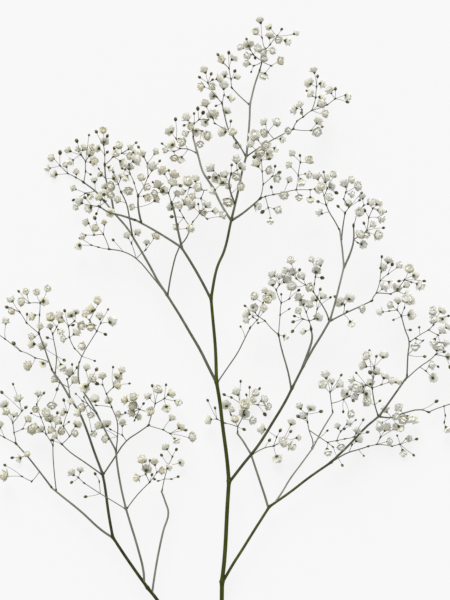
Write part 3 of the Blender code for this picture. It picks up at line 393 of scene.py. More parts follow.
# How each limb looks: share of its solid's radius, and how pale its skin is at its start and its end
LIMB_LOOKS = {
    "main_stem": (0.94, -1.0, 1.2),
    "lower_branch": (1.02, -0.35, 0.75),
    "lower_left_branch": (1.0, 0.5, 0.7),
    "lower_middle_branch": (0.92, 0.65, 1.0),
    "lower_right_branch": (1.1, 0.7, 1.0),
    "right_branch": (0.94, -0.1, 0.5),
    "right_rear_branch": (1.15, 0.5, 0.8),
    "right_inner_branch": (0.82, 1.1, 1.3),
    "high_right_branch": (1.0, 0.1, 1.3),
    "left_branch": (1.0, 0.3, 1.1),
    "high_left_branch": (1.05, 0.3, 0.7),
    "upper_left_branch": (1.12, 1.1, 1.2),
}
PALE_POWER = 1.5

# Stalks that are stouter or finer than the rest, as a share of the usual radius
STALK_GIRTH = {
    "tip_spray": 1.3, "high_left_spray": 1.4, "high_right_spray": 1.25, "centre_right_spray": 2.2,
    "heart_spray": 1.8, "shelf_spray": 0.8, "inner_tip_spray": 0.8, "right_low_spray": 1.35,
    "right_middle_spray": 1.3, "right_edge_spray": 1.5, "right_high_spray": 1.35,
    "right_shoulder_spray": 0.75, "fan_left_spray": 1.75, "hand_spray": 1.2, "fan_middle_spray": 2.5,
    "fan_upper_spray": 1.4, "fan_right_spray": 1.5, "peak_left_spray": 1.15, "peak_spray": 1.35,
    "peak_right_spray": 2.0, "left_low_spray": 1.25, "left_inner_spray": 1.5, "left_tip_spray": 1.9,
    "left_crown_spray": 1.9, "left_back_spray": 1.5, "shelf_left_spray": 2.0, "crest_left_spray": 2.0,
    "crest_inner_spray": 2.2, "corner_left_spray": 1.75, "net_left_spray": 1.3, "net_right_spray": 1.5,
    "middle_left_spray": 0.85, "low_right_spray": 0.85, "net_middle_spray": 1.15, "arch_spray": 0.85,
    "far_left_up_spray": 1.6,
}

# Sprays whose blooms are smaller or larger than the rest, as a share of the usual size
BLOOM_SHARES = {
    "left_tip_spray": 0.92, "left_crown_spray": 0.92, "left_back_spray": 0.96, "left_low_spray": 0.94,
    "left_inner_spray": 1.02, "shelf_left_spray": 0.96, "crest_inner_spray": 1.05,
    "crown_far_left_spray": 0.98, "shoulder_spray": 0.94, "high_left_spray": 0.98, "heart_spray": 1.08,
    "shelf_spray": 1.08, "net_upper_spray": 0.96, "arch_spray": 0.96,
}

# Petal layers of a bloom of radius 1: petals, lean of the lower and the upper half, length, width, base
PETAL_LAYERS = [
    (6, 96, 58, 1.12, 1.05, -0.16),
    (5, 66, 24, 1.14, 0.92, -0.10),
    (3, 36, -12, 1.10, 0.86, -0.02),
]
PETAL_LEAN_WAVE = 8
PETAL_BEND_WAVE = 10
PETAL_TURN_WAVE = 0.15
PETAL_LENGTHS = (0.9, 1.08)
PETAL_FOOT = 0.05
PETAL_BEND = 0.55
PETAL_SIDE_STEP = 0.72
PETAL_CURL = (0.10, 0.07)
PETAL_RUFFLE = 0.04

# Rows of a flat petal from foot to tip: place along it, share of its width, shade
PETAL_ROWS = [(-1.0, 0.0, 0.0), (0.0, 1.0, 0.55), (1.0, 0.62, 1.0)]

# Round forms of radius 1: sides, then rows of height, radius and shade; a radius of 0 closes the form
HEART_SIDES = 5
# The heart runs darker at its foot: partly a greenish base, partly painted shade deep in the bloom
HEART_ROWS = [(-0.30, 0.30, 0.1), (0.06, 0.66, 0.5), (0.50, 0.48, 0.75), (0.74, 0.0, 0.9)]
HEART_WAVE = (0.88, 1.1)
CALYX_SIDES = 10
CALYX_ROWS = [(-0.86, 0.0, 0.2), (-0.80, 0.20, 0.2), (-0.50, 0.38, 0.2), (-0.26, 0.46, 0.2)]
CALYX_TOOTH = (-0.06, 0.56)
ROUND_SIDES = 7
BUD_ROWS = [(-1.3, 0.0, 0.0), (-1.25, 0.25, 0.0), (-0.8, 0.75, 0.25), (-0.1, 1.0, 0.5), (0.6, 0.85, 0.75),
            (1.15, 0.45, 1.0), (1.35, 0.0, 1.0)]
KNOT_ROWS = [(-1.9, 0.0, 0.2), (-1.7, 0.42, 0.2), (-0.6, 0.74, 0.2), (0.3, 0.9, 0.2), (1.3, 0.5, 0.2),
             (1.7, 0.0, 0.2)]

# A narrow pointed bract one long that lies along +Z, on the +X side
BRACT_POINTS = [(0.02, -0.16, 0.0), (0.02, 0.16, 0.0), (0.20, -0.13, 0.45), (0.20, 0.13, 0.45),
                (0.26, 0.0, 0.42), (0.42, 0.0, 1.0)]
BRACT_FACES = [(0, 1, 3, 4), (0, 4, 2), (2, 4, 5), (4, 3, 5), (0, 2, 3, 1), (2, 5, 3)]
BRACT_SHADE = 0.1

# Skins: gloss, span, detail and grain of the mottle, and its darker and lighter colours
SPECULAR = 0.12
SKIN_SPAN = (0.3, 0.7)
SKIN_DETAIL = 3.0
STEM_GRAIN = 220.0
STEM_DARK = ((0.030, 0.040, 0.003), (0.064, 0.080, 0.009))
STEM_FRESH = ((0.055, 0.070, 0.006), (0.100, 0.122, 0.018))
BRANCH_GRAIN = 260.0
BRANCH_DARK = ((0.020, 0.027, 0.004), (0.050, 0.060, 0.012))
BRANCH_FRESH = ((0.045, 0.058, 0.006), (0.085, 0.103, 0.016))
LIMB_PALE = ((0.20, 0.202, 0.155), (0.33, 0.332, 0.275))
TWIG_GRAIN = 320.0
TWIG_DETAIL = 2.0
TWIG_GREEN = ((0.115, 0.119, 0.085), (0.19, 0.196, 0.145))

# Long stretches of fresh green along a limb
STRETCH_GRAIN = 26.0
STRETCH_DETAIL = 1.0
STRETCH_SPAN = (0.52, 0.64)
ALONG_STEM = (1.0, 0.25, 1.0)

# Colours by the shade of a point, from the foot of a form to its tip; on petals and hearts the darker foot
# is partly a greenish base and partly painted shade deep in the bloom and on its lower side
CALYX_GREEN = [(0.0, (0.040, 0.046, 0.010)), (0.6, (0.090, 0.090, 0.032)), (1.0, (0.26, 0.25, 0.15))]
PETAL_PALE = [(0.0, (0.44, 0.445, 0.31)), (0.3, (0.70, 0.695, 0.58)), (0.6, (0.84, 0.835, 0.78)),
              (1.0, (0.88, 0.877, 0.85))]
PETAL_WARM = [(0.0, (0.34, 0.34, 0.16)), (0.3, (0.56, 0.53, 0.34)), (0.6, (0.76, 0.735, 0.58)),
              (1.0, (0.82, 0.80, 0.68))]

# Painted side light on the petals: blooms are warmer towards the left side, where the light comes from;
# its share at the middle, and the width over which it fades
PAINTED_SIDE_LIGHT_MIDDLE = 0.6
PAINTED_SIDE_LIGHT_WIDTH = 190.0

# Tint of a bloom: how far it may go, what the painted side light adds to that, and what the painted side
# light gives every bloom
TINT_REACH = 0.45
TINT_PAINTED_LIGHT_REACH = 0.2
TINT_PAINTED_LIGHT = 0.35

# View and light
VIEW_AT = (225.0, 300.0, 40.0)
VIEW_HEIGHT = 3.0
LENS = 180.0
WORLD_LIGHT = 0.56
WINDOW_LIGHT = 2.2
WINDOW_SOFTNESS = 30
WINDOW_TURN = (-48, -10)
FLOOR_GREY = (0.12, 0.12, 0.12, 1.0)
FLOOR_GLOW = 0.815


def unit(vector):
    return vector / max(np.linalg.norm(vector), 1e-9)


def plan(across, down, height):
    """A plan place as a point in millimetres from the part's origin."""
    return np.array((across - PLAN_CENTRE[0], PLAN_CENTRE[1] - down, height), float)


def square_to(vector, axis):
    return unit(vector - axis * np.dot(vector, axis))


def ring(centre, axis, first, radius, count, turn=0.0):
    """Points on a circle round the axis, starting at the first direction."""
    second = np.cross(axis, first)
    angles = [turn + math.tau * i / count for i in range(count)]
    return [centre + radius * (math.cos(a) * first + math.sin(a) * second) for a in angles]


def bridge(low, high, faces):
    """Triangles between two rings that start at about the same angle and may differ in count."""
    i = j = 0
    while i < len(low) or j < len(high):
        a, b = low[i % len(low)], high[j % len(high)]
        if j == len(high) or (i < len(low) and (i + 0.5) / len(low) <= (j + 0.5) / len(high)):
            i += 1
            faces.append((a, low[i % len(low)], b))
        else:
            j += 1
            faces.append((a, high[j % len(high)], b))


class Growth:
    """A closed surface that grows by drawing one small face at a time out into a limb."""

    def __init__(self):
        self.points = []
        self.faces = []
        self.tree = None
        self.tree_faces = []
        self.twigs = []
        self.blooms = []
        self.buds = []

    def drawn_out(self, base, rings, tip=None):
        """Points and faces of a limb from a base loop through rings, and its last loop."""
        start = len(self.points)
        points, faces, last = [], [], list(base)
        for loop in rings:
            ids = list(range(start + len(points), start + len(points) + len(loop)))
            points += loop
            bridge(last, ids, faces)
            last = ids
        if tip is not None:
            points.append(tip)
            end = start + len(points) - 1
            faces += [(a, last[(i + 1) % len(last)], end) for i, a in enumerate(last)]
        return points, faces, last

    def take(self, points, faces, used_face=None):
        """Adds a limb, and returns the places of its faces in the list."""
        self.points += points
        if used_face is not None:
            self.faces[used_face] = None
        self.faces += faces
        self.tree = None
        return list(range(len(self.faces) - len(faces), len(self.faces)))

    def crosses(self, points, faces):
        """Whether a new limb would cut through faces that it doesn't grow from."""
        if self.tree is None:
            self.tree_faces = [f for f in self.faces if f is not None]
            self.tree = BVHTree.FromPolygons([tuple(p) for p in self.points], self.tree_faces)
        together = [tuple(p) for p in self.points + points]
        limb_tree = BVHTree.FromPolygons(together, faces)
        pairs = limb_tree.overlap(self.tree)
        return any(not set(faces[i]) & set(self.tree_faces[j]) for i, j in pairs)

    def best_face(self, knot, axis):
        """The free face of a knot that looks most along the axis."""
        best = (0.0, None)
        for index in knot["faces"]:
            face = self.faces[index]
            if face is None:
                continue
            a, b, c = (self.points[i] for i in face)
            lean = float(np.dot(unit(np.cross(b - a, c - a)), axis))
            if lean > best[0]:
                best = (lean, index)
        return best

    def first_direction(self, loop, axis):
        """The direction, square to the axis, that lines a new ring up with a loop of three."""
        places = [self.points[i] for i in loop]
        middle = sum(places) / len(places)
        total = np.zeros(3)
        for i, place in enumerate(places):
            out = square_to(place - middle, axis)
            angle = -math.tau * i / len(places)
            total += out * math.cos(angle) + np.cross(axis, out) * math.sin(angle)
        return square_to(total, axis)


def knot_rings(centre, axis, first, radius, is_tip):
    """Two short turned rings, with small faces between them that later limbs can leave from."""
    half = axis * KNOT_LENGTH * 0.5
    rings = [ring(centre - half, axis, first, radius, 3),
             ring(centre + half, axis, first, radius, 3, math.pi / 3)]
    return rings, centre + half * 1.9 if is_tip else None


def stalk(points, start_axis):
    """The stalk of a spray as a closed surface, and its knots."""
    growth = Growth()
    knots = []
    first = square_to(np.array((0.0, 0.0, 1.0)), start_axis)
    growth.take(ring(points[0], start_axis, first, STALK_RADIUS, 3), [(2, 1, 0)])
    last = [0, 1, 2]
    for i in range(1, len(points)):
        way = unit(points[i] - points[i - 1])
        is_tip = i == len(points) - 1
        axis = way if is_tip else unit(way + unit(points[i + 1] - points[i]))
        first = growth.first_direction(last, axis)
        radius = STALK_RADIUS + (TWIG_RADIUS - STALK_RADIUS) * i / (len(points) - 1)
        rings, tip = knot_rings(points[i], axis, first, radius, is_tip)
        new_points, faces, last = growth.drawn_out(last, rings, tip)
        places = growth.take(new_points, faces)
        knots.append({"centre": points[i], "way": way, "faces": places[6:]})
    return growth, knots


def twig_limb(growth, face, knot, end):
    """A twig from one face of a knot, with a knot of its own at the end."""
    axis = unit(end - knot["centre"])
    first = growth.first_direction(growth.faces[face], axis)
    rings, tip = knot_rings(end, axis, first, TWIG_RADIUS, True)
    return growth.drawn_out(growth.faces[face], rings, tip)[:2]


def bloom_limb(growth, face, knot, heart, facing, size):
    """A pedicel from one face of a knot, opening into a cup of petals."""
    axis = unit(heart - knot["centre"])
    first = growth.first_direction(growth.faces[face], axis)
    neck = ring(heart - facing * size * NECK_DROP, unit(axis + facing), first, PEDICEL_RADIUS * 1.2, 3)
    first = square_to(first, facing)
    second = np.cross(facing, first)
    rim = []
    for i in range(BLOOM_PETALS * 2):
        reach, rise = RIM_CORNERS[i % 2]
        angle = math.tau * i / (BLOOM_PETALS * 2)
        out = math.cos(angle) * first + math.sin(angle) * second
        rim.append(heart + out * (size * reach) + facing * size * rise)
    return growth.drawn_out(growth.faces[face], [neck, rim], heart + facing * size * MIDDLE_RISE)[:2]


def bud_limb(growth, face, knot, heart, facing, size):
    """A pedicel from one face of a knot, ending in a closed bud."""
    axis = unit(heart - knot["centre"])
    first = growth.first_direction(growth.faces[face], axis)
    neck = ring(heart - axis * size * BUD_FOOT, axis, first, PEDICEL_RADIUS, 3)
    waist = ring(heart, axis, first, size * BUD_WAIST, 3)
    return growth.drawn_out(growth.faces[face], [neck, waist], heart + axis * size * BUD_TIP)[:2]


class Space:
    """Everything placed so far, as capsules, so that what comes next can be kept clear of it."""

    def __init__(self):
        self.starts = np.zeros((0, 3))
        self.ends = np.zeros((0, 3))
        self.radii = np.zeros(0)
        self.owners = np.zeros(0, object)

    def put(self, owner, start, end, radius):
        self.starts = np.vstack([self.starts, start])
        self.ends = np.vstack([self.ends, end])
        self.radii = np.append(self.radii, radius)
        self.owners = np.append(self.owners, owner)

    def put_path(self, owner, points, radii):
        for i, (a, b) in enumerate(zip(points, points[1:])):
            self.put(owner, a, b, max(abs(radii[i]), abs(radii[i + 1])))

    def gaps(self, start, end, radius):
        """The clear distance from a new capsule to each one placed."""
        along = end - start
        others = self.ends - self.starts
        between = start - self.starts
        a = float(np.dot(along, along)) + 1e-9
        e = (others * others).sum(1) + 1e-9
        f = (others * between).sum(1)
        c = between @ along
        b = others @ along
        lower = a * e - b * b
        s = np.clip(np.where(lower > 1e-6, (b * f - c * e) / np.maximum(lower, 1e-6), 0.0), 0.0, 1.0)
        t = np.clip((b * s + f) / e, 0.0, 1.0)
        s = np.clip((b * t - c) / a, 0.0, 1.0)
        near = start + s[:, None] * along
        far = self.starts + t[:, None] * others
        return np.linalg.norm(near - far, axis=1) - self.radii - radius

    def least_gap(self, owner, start, end, radius, own_press):
        """The least gap past the clearance to other nodes, or to the same node less its allowed press."""
        found = self.gaps(start, end, radius)
        foreign = self.owners != owner
        least = float(found[foreign].min()) - CLEAR if foreign.any() else 99.0
        if own_press is not None and (~foreign).any():
            least = min(least, float(found[~foreign].min()) + own_press)
        return least


def nearest_on(path, across, down):
    """A path's point nearest a plan place, its direction and radius, and whether it is the tip."""
    points, radii = path
    place = plan(across, down, 0)[:2]
    best = None
    for i, (a, b) in enumerate(zip(points, points[1:])):
        run = (b - a)[:2]
        t = min(max(float(np.dot(place - a[:2], run) / max(np.dot(run, run), 1e-9)), 0.0), 1.0)
        point = a + (b - a) * t
        gap = float(np.linalg.norm(point[:2] - place))
        if best is None or gap < best[0] - 1e-6:
            radius = radii[i] + (radii[i + 1] - radii[i]) * t
            at_tip = i == len(points) - 2 and t > 0.98
            best = (gap, point, unit(b - a), radius, at_tip)
    return best[1:]


def spread(start_height, end_height, places):
    """Places with heights that run evenly from the first to the last."""
    runs = [0.0]
    for (a, b), (c, d) in zip(places, places[1:]):
        runs.append(runs[-1] + math.hypot(c - a, d - b))
    heights = [start_height + (end_height - start_height) * r / runs[-1] for r in runs]
    return [plan(u, v, h) for (u, v), h in zip(places, heights)]


def limb_line(parent, places, end_height):
    """Points and first direction of a limb that starts just off its parent."""
    root, way, radius, at_tip = nearest_on(parent, *places[0])
    points = spread(root[2], end_height, places)
    if at_tip:
        points[0] = root + way * NODE_GAP
        return points, way
    start_axis = square_to(points[1] - root, way)
    points[0] = root + start_axis * (radius + NODE_GAP)
    return points, start_axis


def knots_by_cost(knots, place):
    """Knots in the order that a new limb to this place would most naturally leave them."""
    def cost(knot):
        run = place - knot["centre"][:2]
        length = float(np.linalg.norm(run)) + 1e-6
        turn = 1.0 - float(np.dot(run / length, unit(knot["way"][:2])))
        return length * (1.0 + TURN_COST * turn)
    return sorted(knots, key=cost)


def wandered(place, reach, draw):
    return place + np.array((draw.uniform(-1, 1), draw.uniform(-1, 1))) * reach


def grow_twig(space, name, growth, knots, place, draw):
    """Grows one twig to a plan place, as near it and as clear as the draws allow."""
    ordered = knots_by_cost(knots, place)
    for step in range(TRIES):
        wander = step / TRIES
        knot = ordered[min(step * TWIG_KNOTS // TRIES, len(ordered) - 1)]
        root = knot["centre"]
        length = float(np.linalg.norm(place - root[:2]))
        rise = draw.uniform(-1, 1) * length * (TWIG_RISE[0] + TWIG_RISE[1] * wander)
        height = min(max(root[2] + rise, LOWEST_TWIG), HIGHEST)
        end = np.array((*wandered(place, TWIG_WANDER * wander, draw), height))
        axis = unit(end - root)
        lean, face = growth.best_face(knot, axis)
        if lean < LEAST_LEAN or space.least_gap(name, root + axis, end + axis, TWIG_RADIUS, None) < 0:
            continue
        if space.least_gap(name, end, end + axis, TWIG_RADIUS, 0.0) < 0:
            continue
        points, faces = twig_limb(growth, face, knot, end)
        if growth.crosses(points, faces):
            continue
        places = growth.take(points, faces, face)
        knots.append({"centre": end, "way": axis, "faces": places[6:]})
        space.put(name, root, end, TWIG_RADIUS)
        growth.twigs.append((root, end))
        return


def grow_head(space, name, growth, knots, place, is_bloom, draw):
    """Grows one bloom or bud at a plan place, as near it and as clear as the draws allow."""
    ordered = knots_by_cost(knots, place)
    size = draw.uniform(*(BLOOM_RADII if is_bloom else BUD_RADII))
    lowest = LOWEST_BLOOM if is_bloom else LOWEST_TWIG
    for step in range(TRIES):
        wander = step / TRIES
        knot = ordered[min(step * HEAD_KNOTS // TRIES, len(ordered) - 1)]
        root = knot["centre"]
        length = max(float(np.linalg.norm(place - root[:2])), LEAST_RUN)
        rise = draw.uniform(-1, 1) * min(length * HEAD_RISE[0] + HEAD_RISE[1] * wander, HIGHEST_RISE)
        height = min(max(root[2] + rise, lowest), HIGHEST)
        reach = HEAD_WANDER[0] + HEAD_WANDER[1] * wander
        heart = np.array((*wandered(place, reach, draw), height))
        axis = unit(heart - root)
        if np.linalg.norm(heart - root) < size + LEAST_PEDICEL:
            continue
        tilt = np.array([draw.gauss(0, 1) for _ in range(3)]) * FACING_TILT
        facing = unit(axis + tilt)
        lean, face = growth.best_face(knot, axis)
        neck = heart - axis * size
        if lean < LEAST_LEAN or space.least_gap(name, root + axis, neck, PEDICEL_RADIUS, None) < 0:
            continue
        if space.least_gap(name, heart, heart, size, size * HEAD_PRESS) < 0:
            continue
        make = bloom_limb if is_bloom else bud_limb
        points, faces = make(growth, face, knot, heart, facing, size)
        if growth.crosses(points, faces):
            continue
        growth.take(points, faces, face)
        space.put(name, root, heart, PEDICEL_RADIUS)
        space.put(name, heart, heart, size)
        kept = growth.blooms if is_bloom else growth.buds
        kept.append((root, heart, facing, size))
        return


def grow_all():
    """Repeats the growth rule, and returns the limbs and the sprays."""
    draw = random.Random(SEED)
    space = Space()
    main_points = [plan(u, v, h) for u, v, h, _ in MAIN_STEM]
    main_radii = [-r * KNOT_SWELL if r < 0 else r for _, _, _, r in MAIN_STEM]
    space.put_path("main_stem", main_points, main_radii)
    paths = {"main_stem": (main_points, main_radii)}
    for name, parent, first_radius, last_radius, end_height, places in BRANCHES:
        points, _ = limb_line(paths[parent], places, end_height)
        steps = len(points) - 1
        radii = [first_radius + (last_radius - first_radius) * i / steps for i in range(len(points))]
        space.put_path(name, points, radii)
        paths[name] = (points, radii)
    sprays = {}
    for name, parent, stalk_height, places, _, _, _ in SPRAYS:
        points, start_axis = limb_line(paths[parent], places, stalk_height)
        radii = [STALK_RADIUS] * len(points)
        space.put_path(name, points, radii)
        paths[name] = (points, radii)
        sprays[name] = stalk(points, start_axis)
    for name, _, _, _, forks, _, _ in SPRAYS:
        growth, knots = sprays[name]
        for across, down in forks:
            grow_twig(space, name, growth, knots, plan(across, down, 0)[:2], draw)
    for name, _, _, _, _, blooms, buds in SPRAYS:
        growth, knots = sprays[name]
        for across, down in blooms:
            grow_head(space, name, growth, knots, plan(across, down, 0)[:2], True, draw)
        for across, down in buds:
            grow_head(space, name, growth, knots, plan(across, down, 0)[:2], False, draw)
    return paths, sprays


def smooth_stems(name, lines, paint, bevel_steps, curve_steps):
    """One mesh of round tapering stems through lines of points, from a bevelled curve."""
    curve = bpy.data.curves.new(name, "CURVE")
    curve.dimensions = "3D"
    curve.bevel_depth = MM
    curve.bevel_resolution = bevel_steps
    curve.resolution_u = curve_steps
    curve.use_fill_caps = True
    for points, radii in lines:
        spline = curve.splines.new("BEZIER")
        spline.bezier_points.add(len(points) - 1)
        for spot, point, radius in zip(spline.bezier_points, points, radii):
            spot.co = Vector(point) * MM
            spot.handle_left_type = "AUTO"
            spot.handle_right_type = "AUTO"
            spot.radius = radius
    made = bpy.data.objects.new(name, curve)
    bpy.context.scene.collection.objects.link(made)
    bpy.ops.object.select_all(action="DESELECT")
    made.select_set(True)
    bpy.context.view_layer.objects.active = made
    bpy.ops.object.convert(target="MESH")
    bpy.ops.object.shade_smooth()
    made = bpy.context.view_layer.objects.active
    made.select_set(False)
    made.data.materials.clear()
    made.data.materials.append(paint)
    return made


def knotted(points, radii, knots):
    """The same line with short swellings at its knots."""
    line = []
    for i, (point, radius) in enumerate(zip(points, radii)):
        if i not in knots or i in (0, len(points) - 1):
            line.append((point, radius))
            continue
        before = unit(points[i - 1] - point)
        after = unit(points[i + 1] - point)
        for reach, swelling in KNOT_PROFILE:
            way = before if reach < 0 else after
            line.append((point + way * KNOT_REACH * abs(reach), radius * swelling))
    return [p for p, _ in line], [r for _, r in line]


def add_loop(sides, radius, height):
    """A new open loop round the Z axis with its first corner on +X, selected in edit mode."""
    bpy.ops.object.select_all(action="DESELECT")
    bpy.ops.mesh.primitive_circle_add(vertices=sides, radius=radius, location=(0.0, 0.0, height),
                                      rotation=(0.0, 0.0, -math.pi / 2))
    bpy.ops.object.transform_apply(location=True, rotation=True, scale=True)
    bpy.ops.object.mode_set(mode="EDIT")
    bpy.ops.mesh.select_all(action="SELECT")


def select_corners(wanted):
    """Selects the corners, in edit mode, whose place passes the test."""
    mesh = bpy.context.view_layer.objects.active.data
    shape = bmesh.from_edit_mesh(mesh)
    for corner in shape.verts:
        corner.select_set(wanted(corner.co))
    shape.select_flush_mode()
    bmesh.update_edit_mesh(mesh)


def scale_across(factor):
    bpy.ops.transform.resize(value=(factor, factor, 1.0), center_override=(0.0, 0.0, 0.0))


def draw_loop(rise, factor, turn):
    """Extrudes the selected loop up, then scales it across and turns it round the Z axis."""
    bpy.ops.mesh.extrude_region_move(TRANSFORM_OT_translate={"value": (0.0, 0.0, rise)})
    scale_across(factor)
    if turn:
        bpy.ops.transform.rotate(value=turn, orient_axis="Z", center_override=(0.0, 0.0, 0.0))


def close_loop(rise):
    """Extrudes the selected loop and gathers it into one point."""
    bpy.ops.mesh.extrude_region_move(TRANSFORM_OT_translate={"value": (0.0, 0.0, rise)})
    bpy.ops.mesh.merge(type="CENTER")


def draw_rows(sides, rows, turn=0.0):
    """Draws a round form up from a loop, row by row, turned there and back, and stays in edit mode."""
    loops = [(height, radius) for height, radius, _ in rows if radius > 0]
    first_height, first_radius = loops[0]
    add_loop(sides, first_radius, first_height)
    for k, ((low, narrow), (high, wide)) in enumerate(zip(loops, loops[1:])):
        draw_loop(high - low, wide / narrow, turn if k % 2 else -turn)
    if rows[-1][1] == 0:
        close_loop(rows[-1][0] - loops[-1][0])
    if rows[0][1] == 0:
        select_corners(lambda place: abs(place.z - first_height) < SAME_PLACE)
        close_loop(rows[0][0] - first_height)
    bpy.ops.mesh.select_all(action="SELECT")
    bpy.ops.mesh.normals_make_consistent(inside=False)


def taken_form(rows, axis):
    """Takes the points and faces of the form being edited, with the shades of its rows along an axis.

    Each face starts at its second corner, which decides the diagonal that a bent face folds along.
    """
    bpy.ops.object.mode_set(mode="OBJECT")
    made = bpy.context.view_layer.objects.active
    points = np.array([corner.co[:] for corner in made.data.vertices])
    faces = [(*face.vertices[1:], face.vertices[0]) for face in made.data.polygons]
    shades = np.interp(points[:, axis], [row[0] for row in rows], [row[2] for row in rows]).tolist()
    mesh = made.data
    bpy.data.objects.remove(made)
    bpy.data.meshes.remove(mesh)
    return points, faces, shades


def bud_form():
    """A closed bud of radius 1 that points along +Z, paler at its tip."""
    draw_rows(ROUND_SIDES, BUD_ROWS, math.pi / ROUND_SIDES)
    return taken_form(BUD_ROWS, 2)


def knot_form():
    """The swelling of a stem at a fork, along +Z, green all over."""
    draw_rows(ROUND_SIDES, KNOT_ROWS, math.pi / ROUND_SIDES)
    return taken_form(KNOT_ROWS, 2)


def calyx_form():
    """A small green cup with five teeth under a bloom of radius 1."""
    draw_rows(CALYX_SIDES, CALYX_ROWS)
    rim, reach, _ = CALYX_ROWS[-1]
    tooth_height, tooth_reach = CALYX_TOOTH
    step = math.tau / CALYX_SIDES

    def is_tooth(place):
        side = round(math.atan2(place.y, place.x) / step)
        return abs(place.z - rim) < SAME_PLACE and side % 2 == 0

    select_corners(is_tooth)
    bpy.ops.transform.translate(value=(0.0, 0.0, tooth_height - rim))
    scale_across(tooth_reach / reach)
    return taken_form(CALYX_ROWS, 2)


def bract_form():
    """A narrow pointed bract, which is too uneven for a loop drawn up."""
    return np.array(BRACT_POINTS), BRACT_FACES, [BRACT_SHADE] * len(BRACT_POINTS)


def flat_petal():
    """A flat petal of two rows of cells with its foot gathered into one point: X across, Y out."""
    bpy.ops.object.select_all(action="DESELECT")
    bpy.ops.mesh.primitive_grid_add(x_subdivisions=2, y_subdivisions=2, size=2.0)
    bpy.ops.object.mode_set(mode="EDIT")
    select_corners(lambda place: place.y < -0.5)
    bpy.ops.mesh.merge(type="CENTER")
    return taken_form(PETAL_ROWS, 1)


def heart_form():
    """The full heart of a bloom, which its petals stand out of."""
    draw_rows(HEART_SIDES, HEART_ROWS)
    return taken_form(HEART_ROWS, 2)


def bent_petal(flat, turn, leans, size, draw):
    """The points of a flat petal bent up at its middle, cupped, ruffled and turned round the bloom."""
    length, width, base = size
    low_lean, high_lean = leans
    low = math.radians(low_lean)
    high = math.radians(high_lean + draw.uniform(-PETAL_BEND_WAVE, PETAL_BEND_WAVE))
    ruffles = [draw.uniform(-PETAL_RUFFLE, PETAL_RUFFLE) for _ in range(2)]
    half = length * PETAL_BEND
    points = []
    for x, y, _ in flat:
        side, row = -round(x), round(y)
        if row < 0:
            points.append((PETAL_FOOT * math.cos(turn), PETAL_FOOT * math.sin(turn), base))
            continue
        across = side * width * 0.5 * PETAL_ROWS[row + 1][1]
        step = (length - half) * row * (PETAL_SIDE_STEP if side else 1.0)
        out = half * math.sin(low) + step * math.sin(high)
        up = base + half * math.cos(low) + step * math.cos(high)
        if side:
            out -= PETAL_CURL[0] * width
            up += PETAL_CURL[1] * width + side * ruffles[row]
        points.append((out * math.cos(turn) - across * math.sin(turn),
                       out * math.sin(turn) + across * math.cos(turn), up))
    return points


def uneven_heart(heart, draw):
    """The points of a heart with each corner of its rows a little nearer or further out."""
    points = heart.copy()
    sides = np.rint(np.arctan2(points[:, 1], points[:, 0]) * HEART_SIDES / math.tau) % HEART_SIDES
    for k in np.lexsort((sides, points[:, 2].round(3))):
        if np.hypot(*points[k, :2]) > SAME_PLACE:
            points[k, :2] *= draw.uniform(*HEART_WAVE)
    return points


def bloom_form(openness, flat, heart, draw):
    """Points, faces and shades of one double bloom of radius 1 that faces +Z."""
    flat_points, flat_faces, flat_shades = flat
    heart_points, heart_faces, heart_shades = heart
    points = []
    faces = []
    shades = []
    for count, low, high, length, width, base in PETAL_LAYERS:
        start_turn = draw.uniform(0, math.tau)
        for i in range(count):
            turn = start_turn + math.tau * i / count + draw.uniform(-PETAL_TURN_WAVE, PETAL_TURN_WAVE)
            wave = draw.uniform(-PETAL_LEAN_WAVE, PETAL_LEAN_WAVE)
            leans = (low * openness + wave, high * openness + wave)
            size = (length * draw.uniform(*PETAL_LENGTHS), width, base)
            first = len(points)
            points += bent_petal(flat_points, turn, leans, size, draw)
            shades += flat_shades
            faces += [tuple(first + k for k in face) for face in flat_faces]
    first = len(points)
    points += uneven_heart(heart_points, draw).tolist()
    shades += heart_shades
    faces += [tuple(first + k for k in face) for face in heart_faces]
    return np.array(points), faces, shades


def turned(axis, spin):
    """A turn that takes +Z to the axis, after a spin about +Z."""
    guide = np.array((1.0, 0.0, 0.0)) if abs(axis[0]) < 0.8 else np.array((0.0, 1.0, 0.0))
    first = square_to(guide, axis)
    second = np.cross(axis, first)
    x = first * math.cos(spin) + second * math.sin(spin)
    y = np.cross(axis, x)
    return np.column_stack((x, y, axis))


class Pile:
    """Many small forms gathered into one mesh, with a shade and a tint at each point."""

    def __init__(self):
        self.points = []
        self.faces = []
        self.shades = []
        self.tints = []

    def put(self, form, place, turn, size, tint=0.0):
        points, faces, shades = form
        first = len(self.shades)
        moved = (points * size) @ turn.T + place
        moved[:, 2] = np.maximum(moved[:, 2], LOWEST_PETAL)
        self.points.append(moved)
        self.faces += [tuple(first + k for k in face) for face in faces]
        self.shades += shades
        self.tints += [tint] * len(points)

    def mesh(self, name, paint):
        mesh = bpy.data.meshes.new(name)
        places = np.concatenate(self.points) * MM
        mesh.from_pydata(places.tolist(), [], self.faces)
        mesh.materials.append(paint)
        mesh.polygons.foreach_set("use_smooth", [True] * len(self.faces))
        for label, values in (("shade", self.shades), ("tint", self.tints)):
            layer = mesh.attributes.new(label, "FLOAT", "POINT")
            layer.data.foreach_set("value", values)
        made = bpy.data.objects.new(name, mesh)
        bpy.context.scene.collection.objects.link(made)
        return made


def new_material(name, roughness):
    paint = bpy.data.materials.new(name)
    paint.use_nodes = True
    shader = paint.node_tree.nodes["Principled BSDF"]
    shader.inputs["Roughness"].default_value = roughness
    shader.inputs["Specular IOR Level"].default_value = SPECULAR
    return paint, paint.node_tree, shader


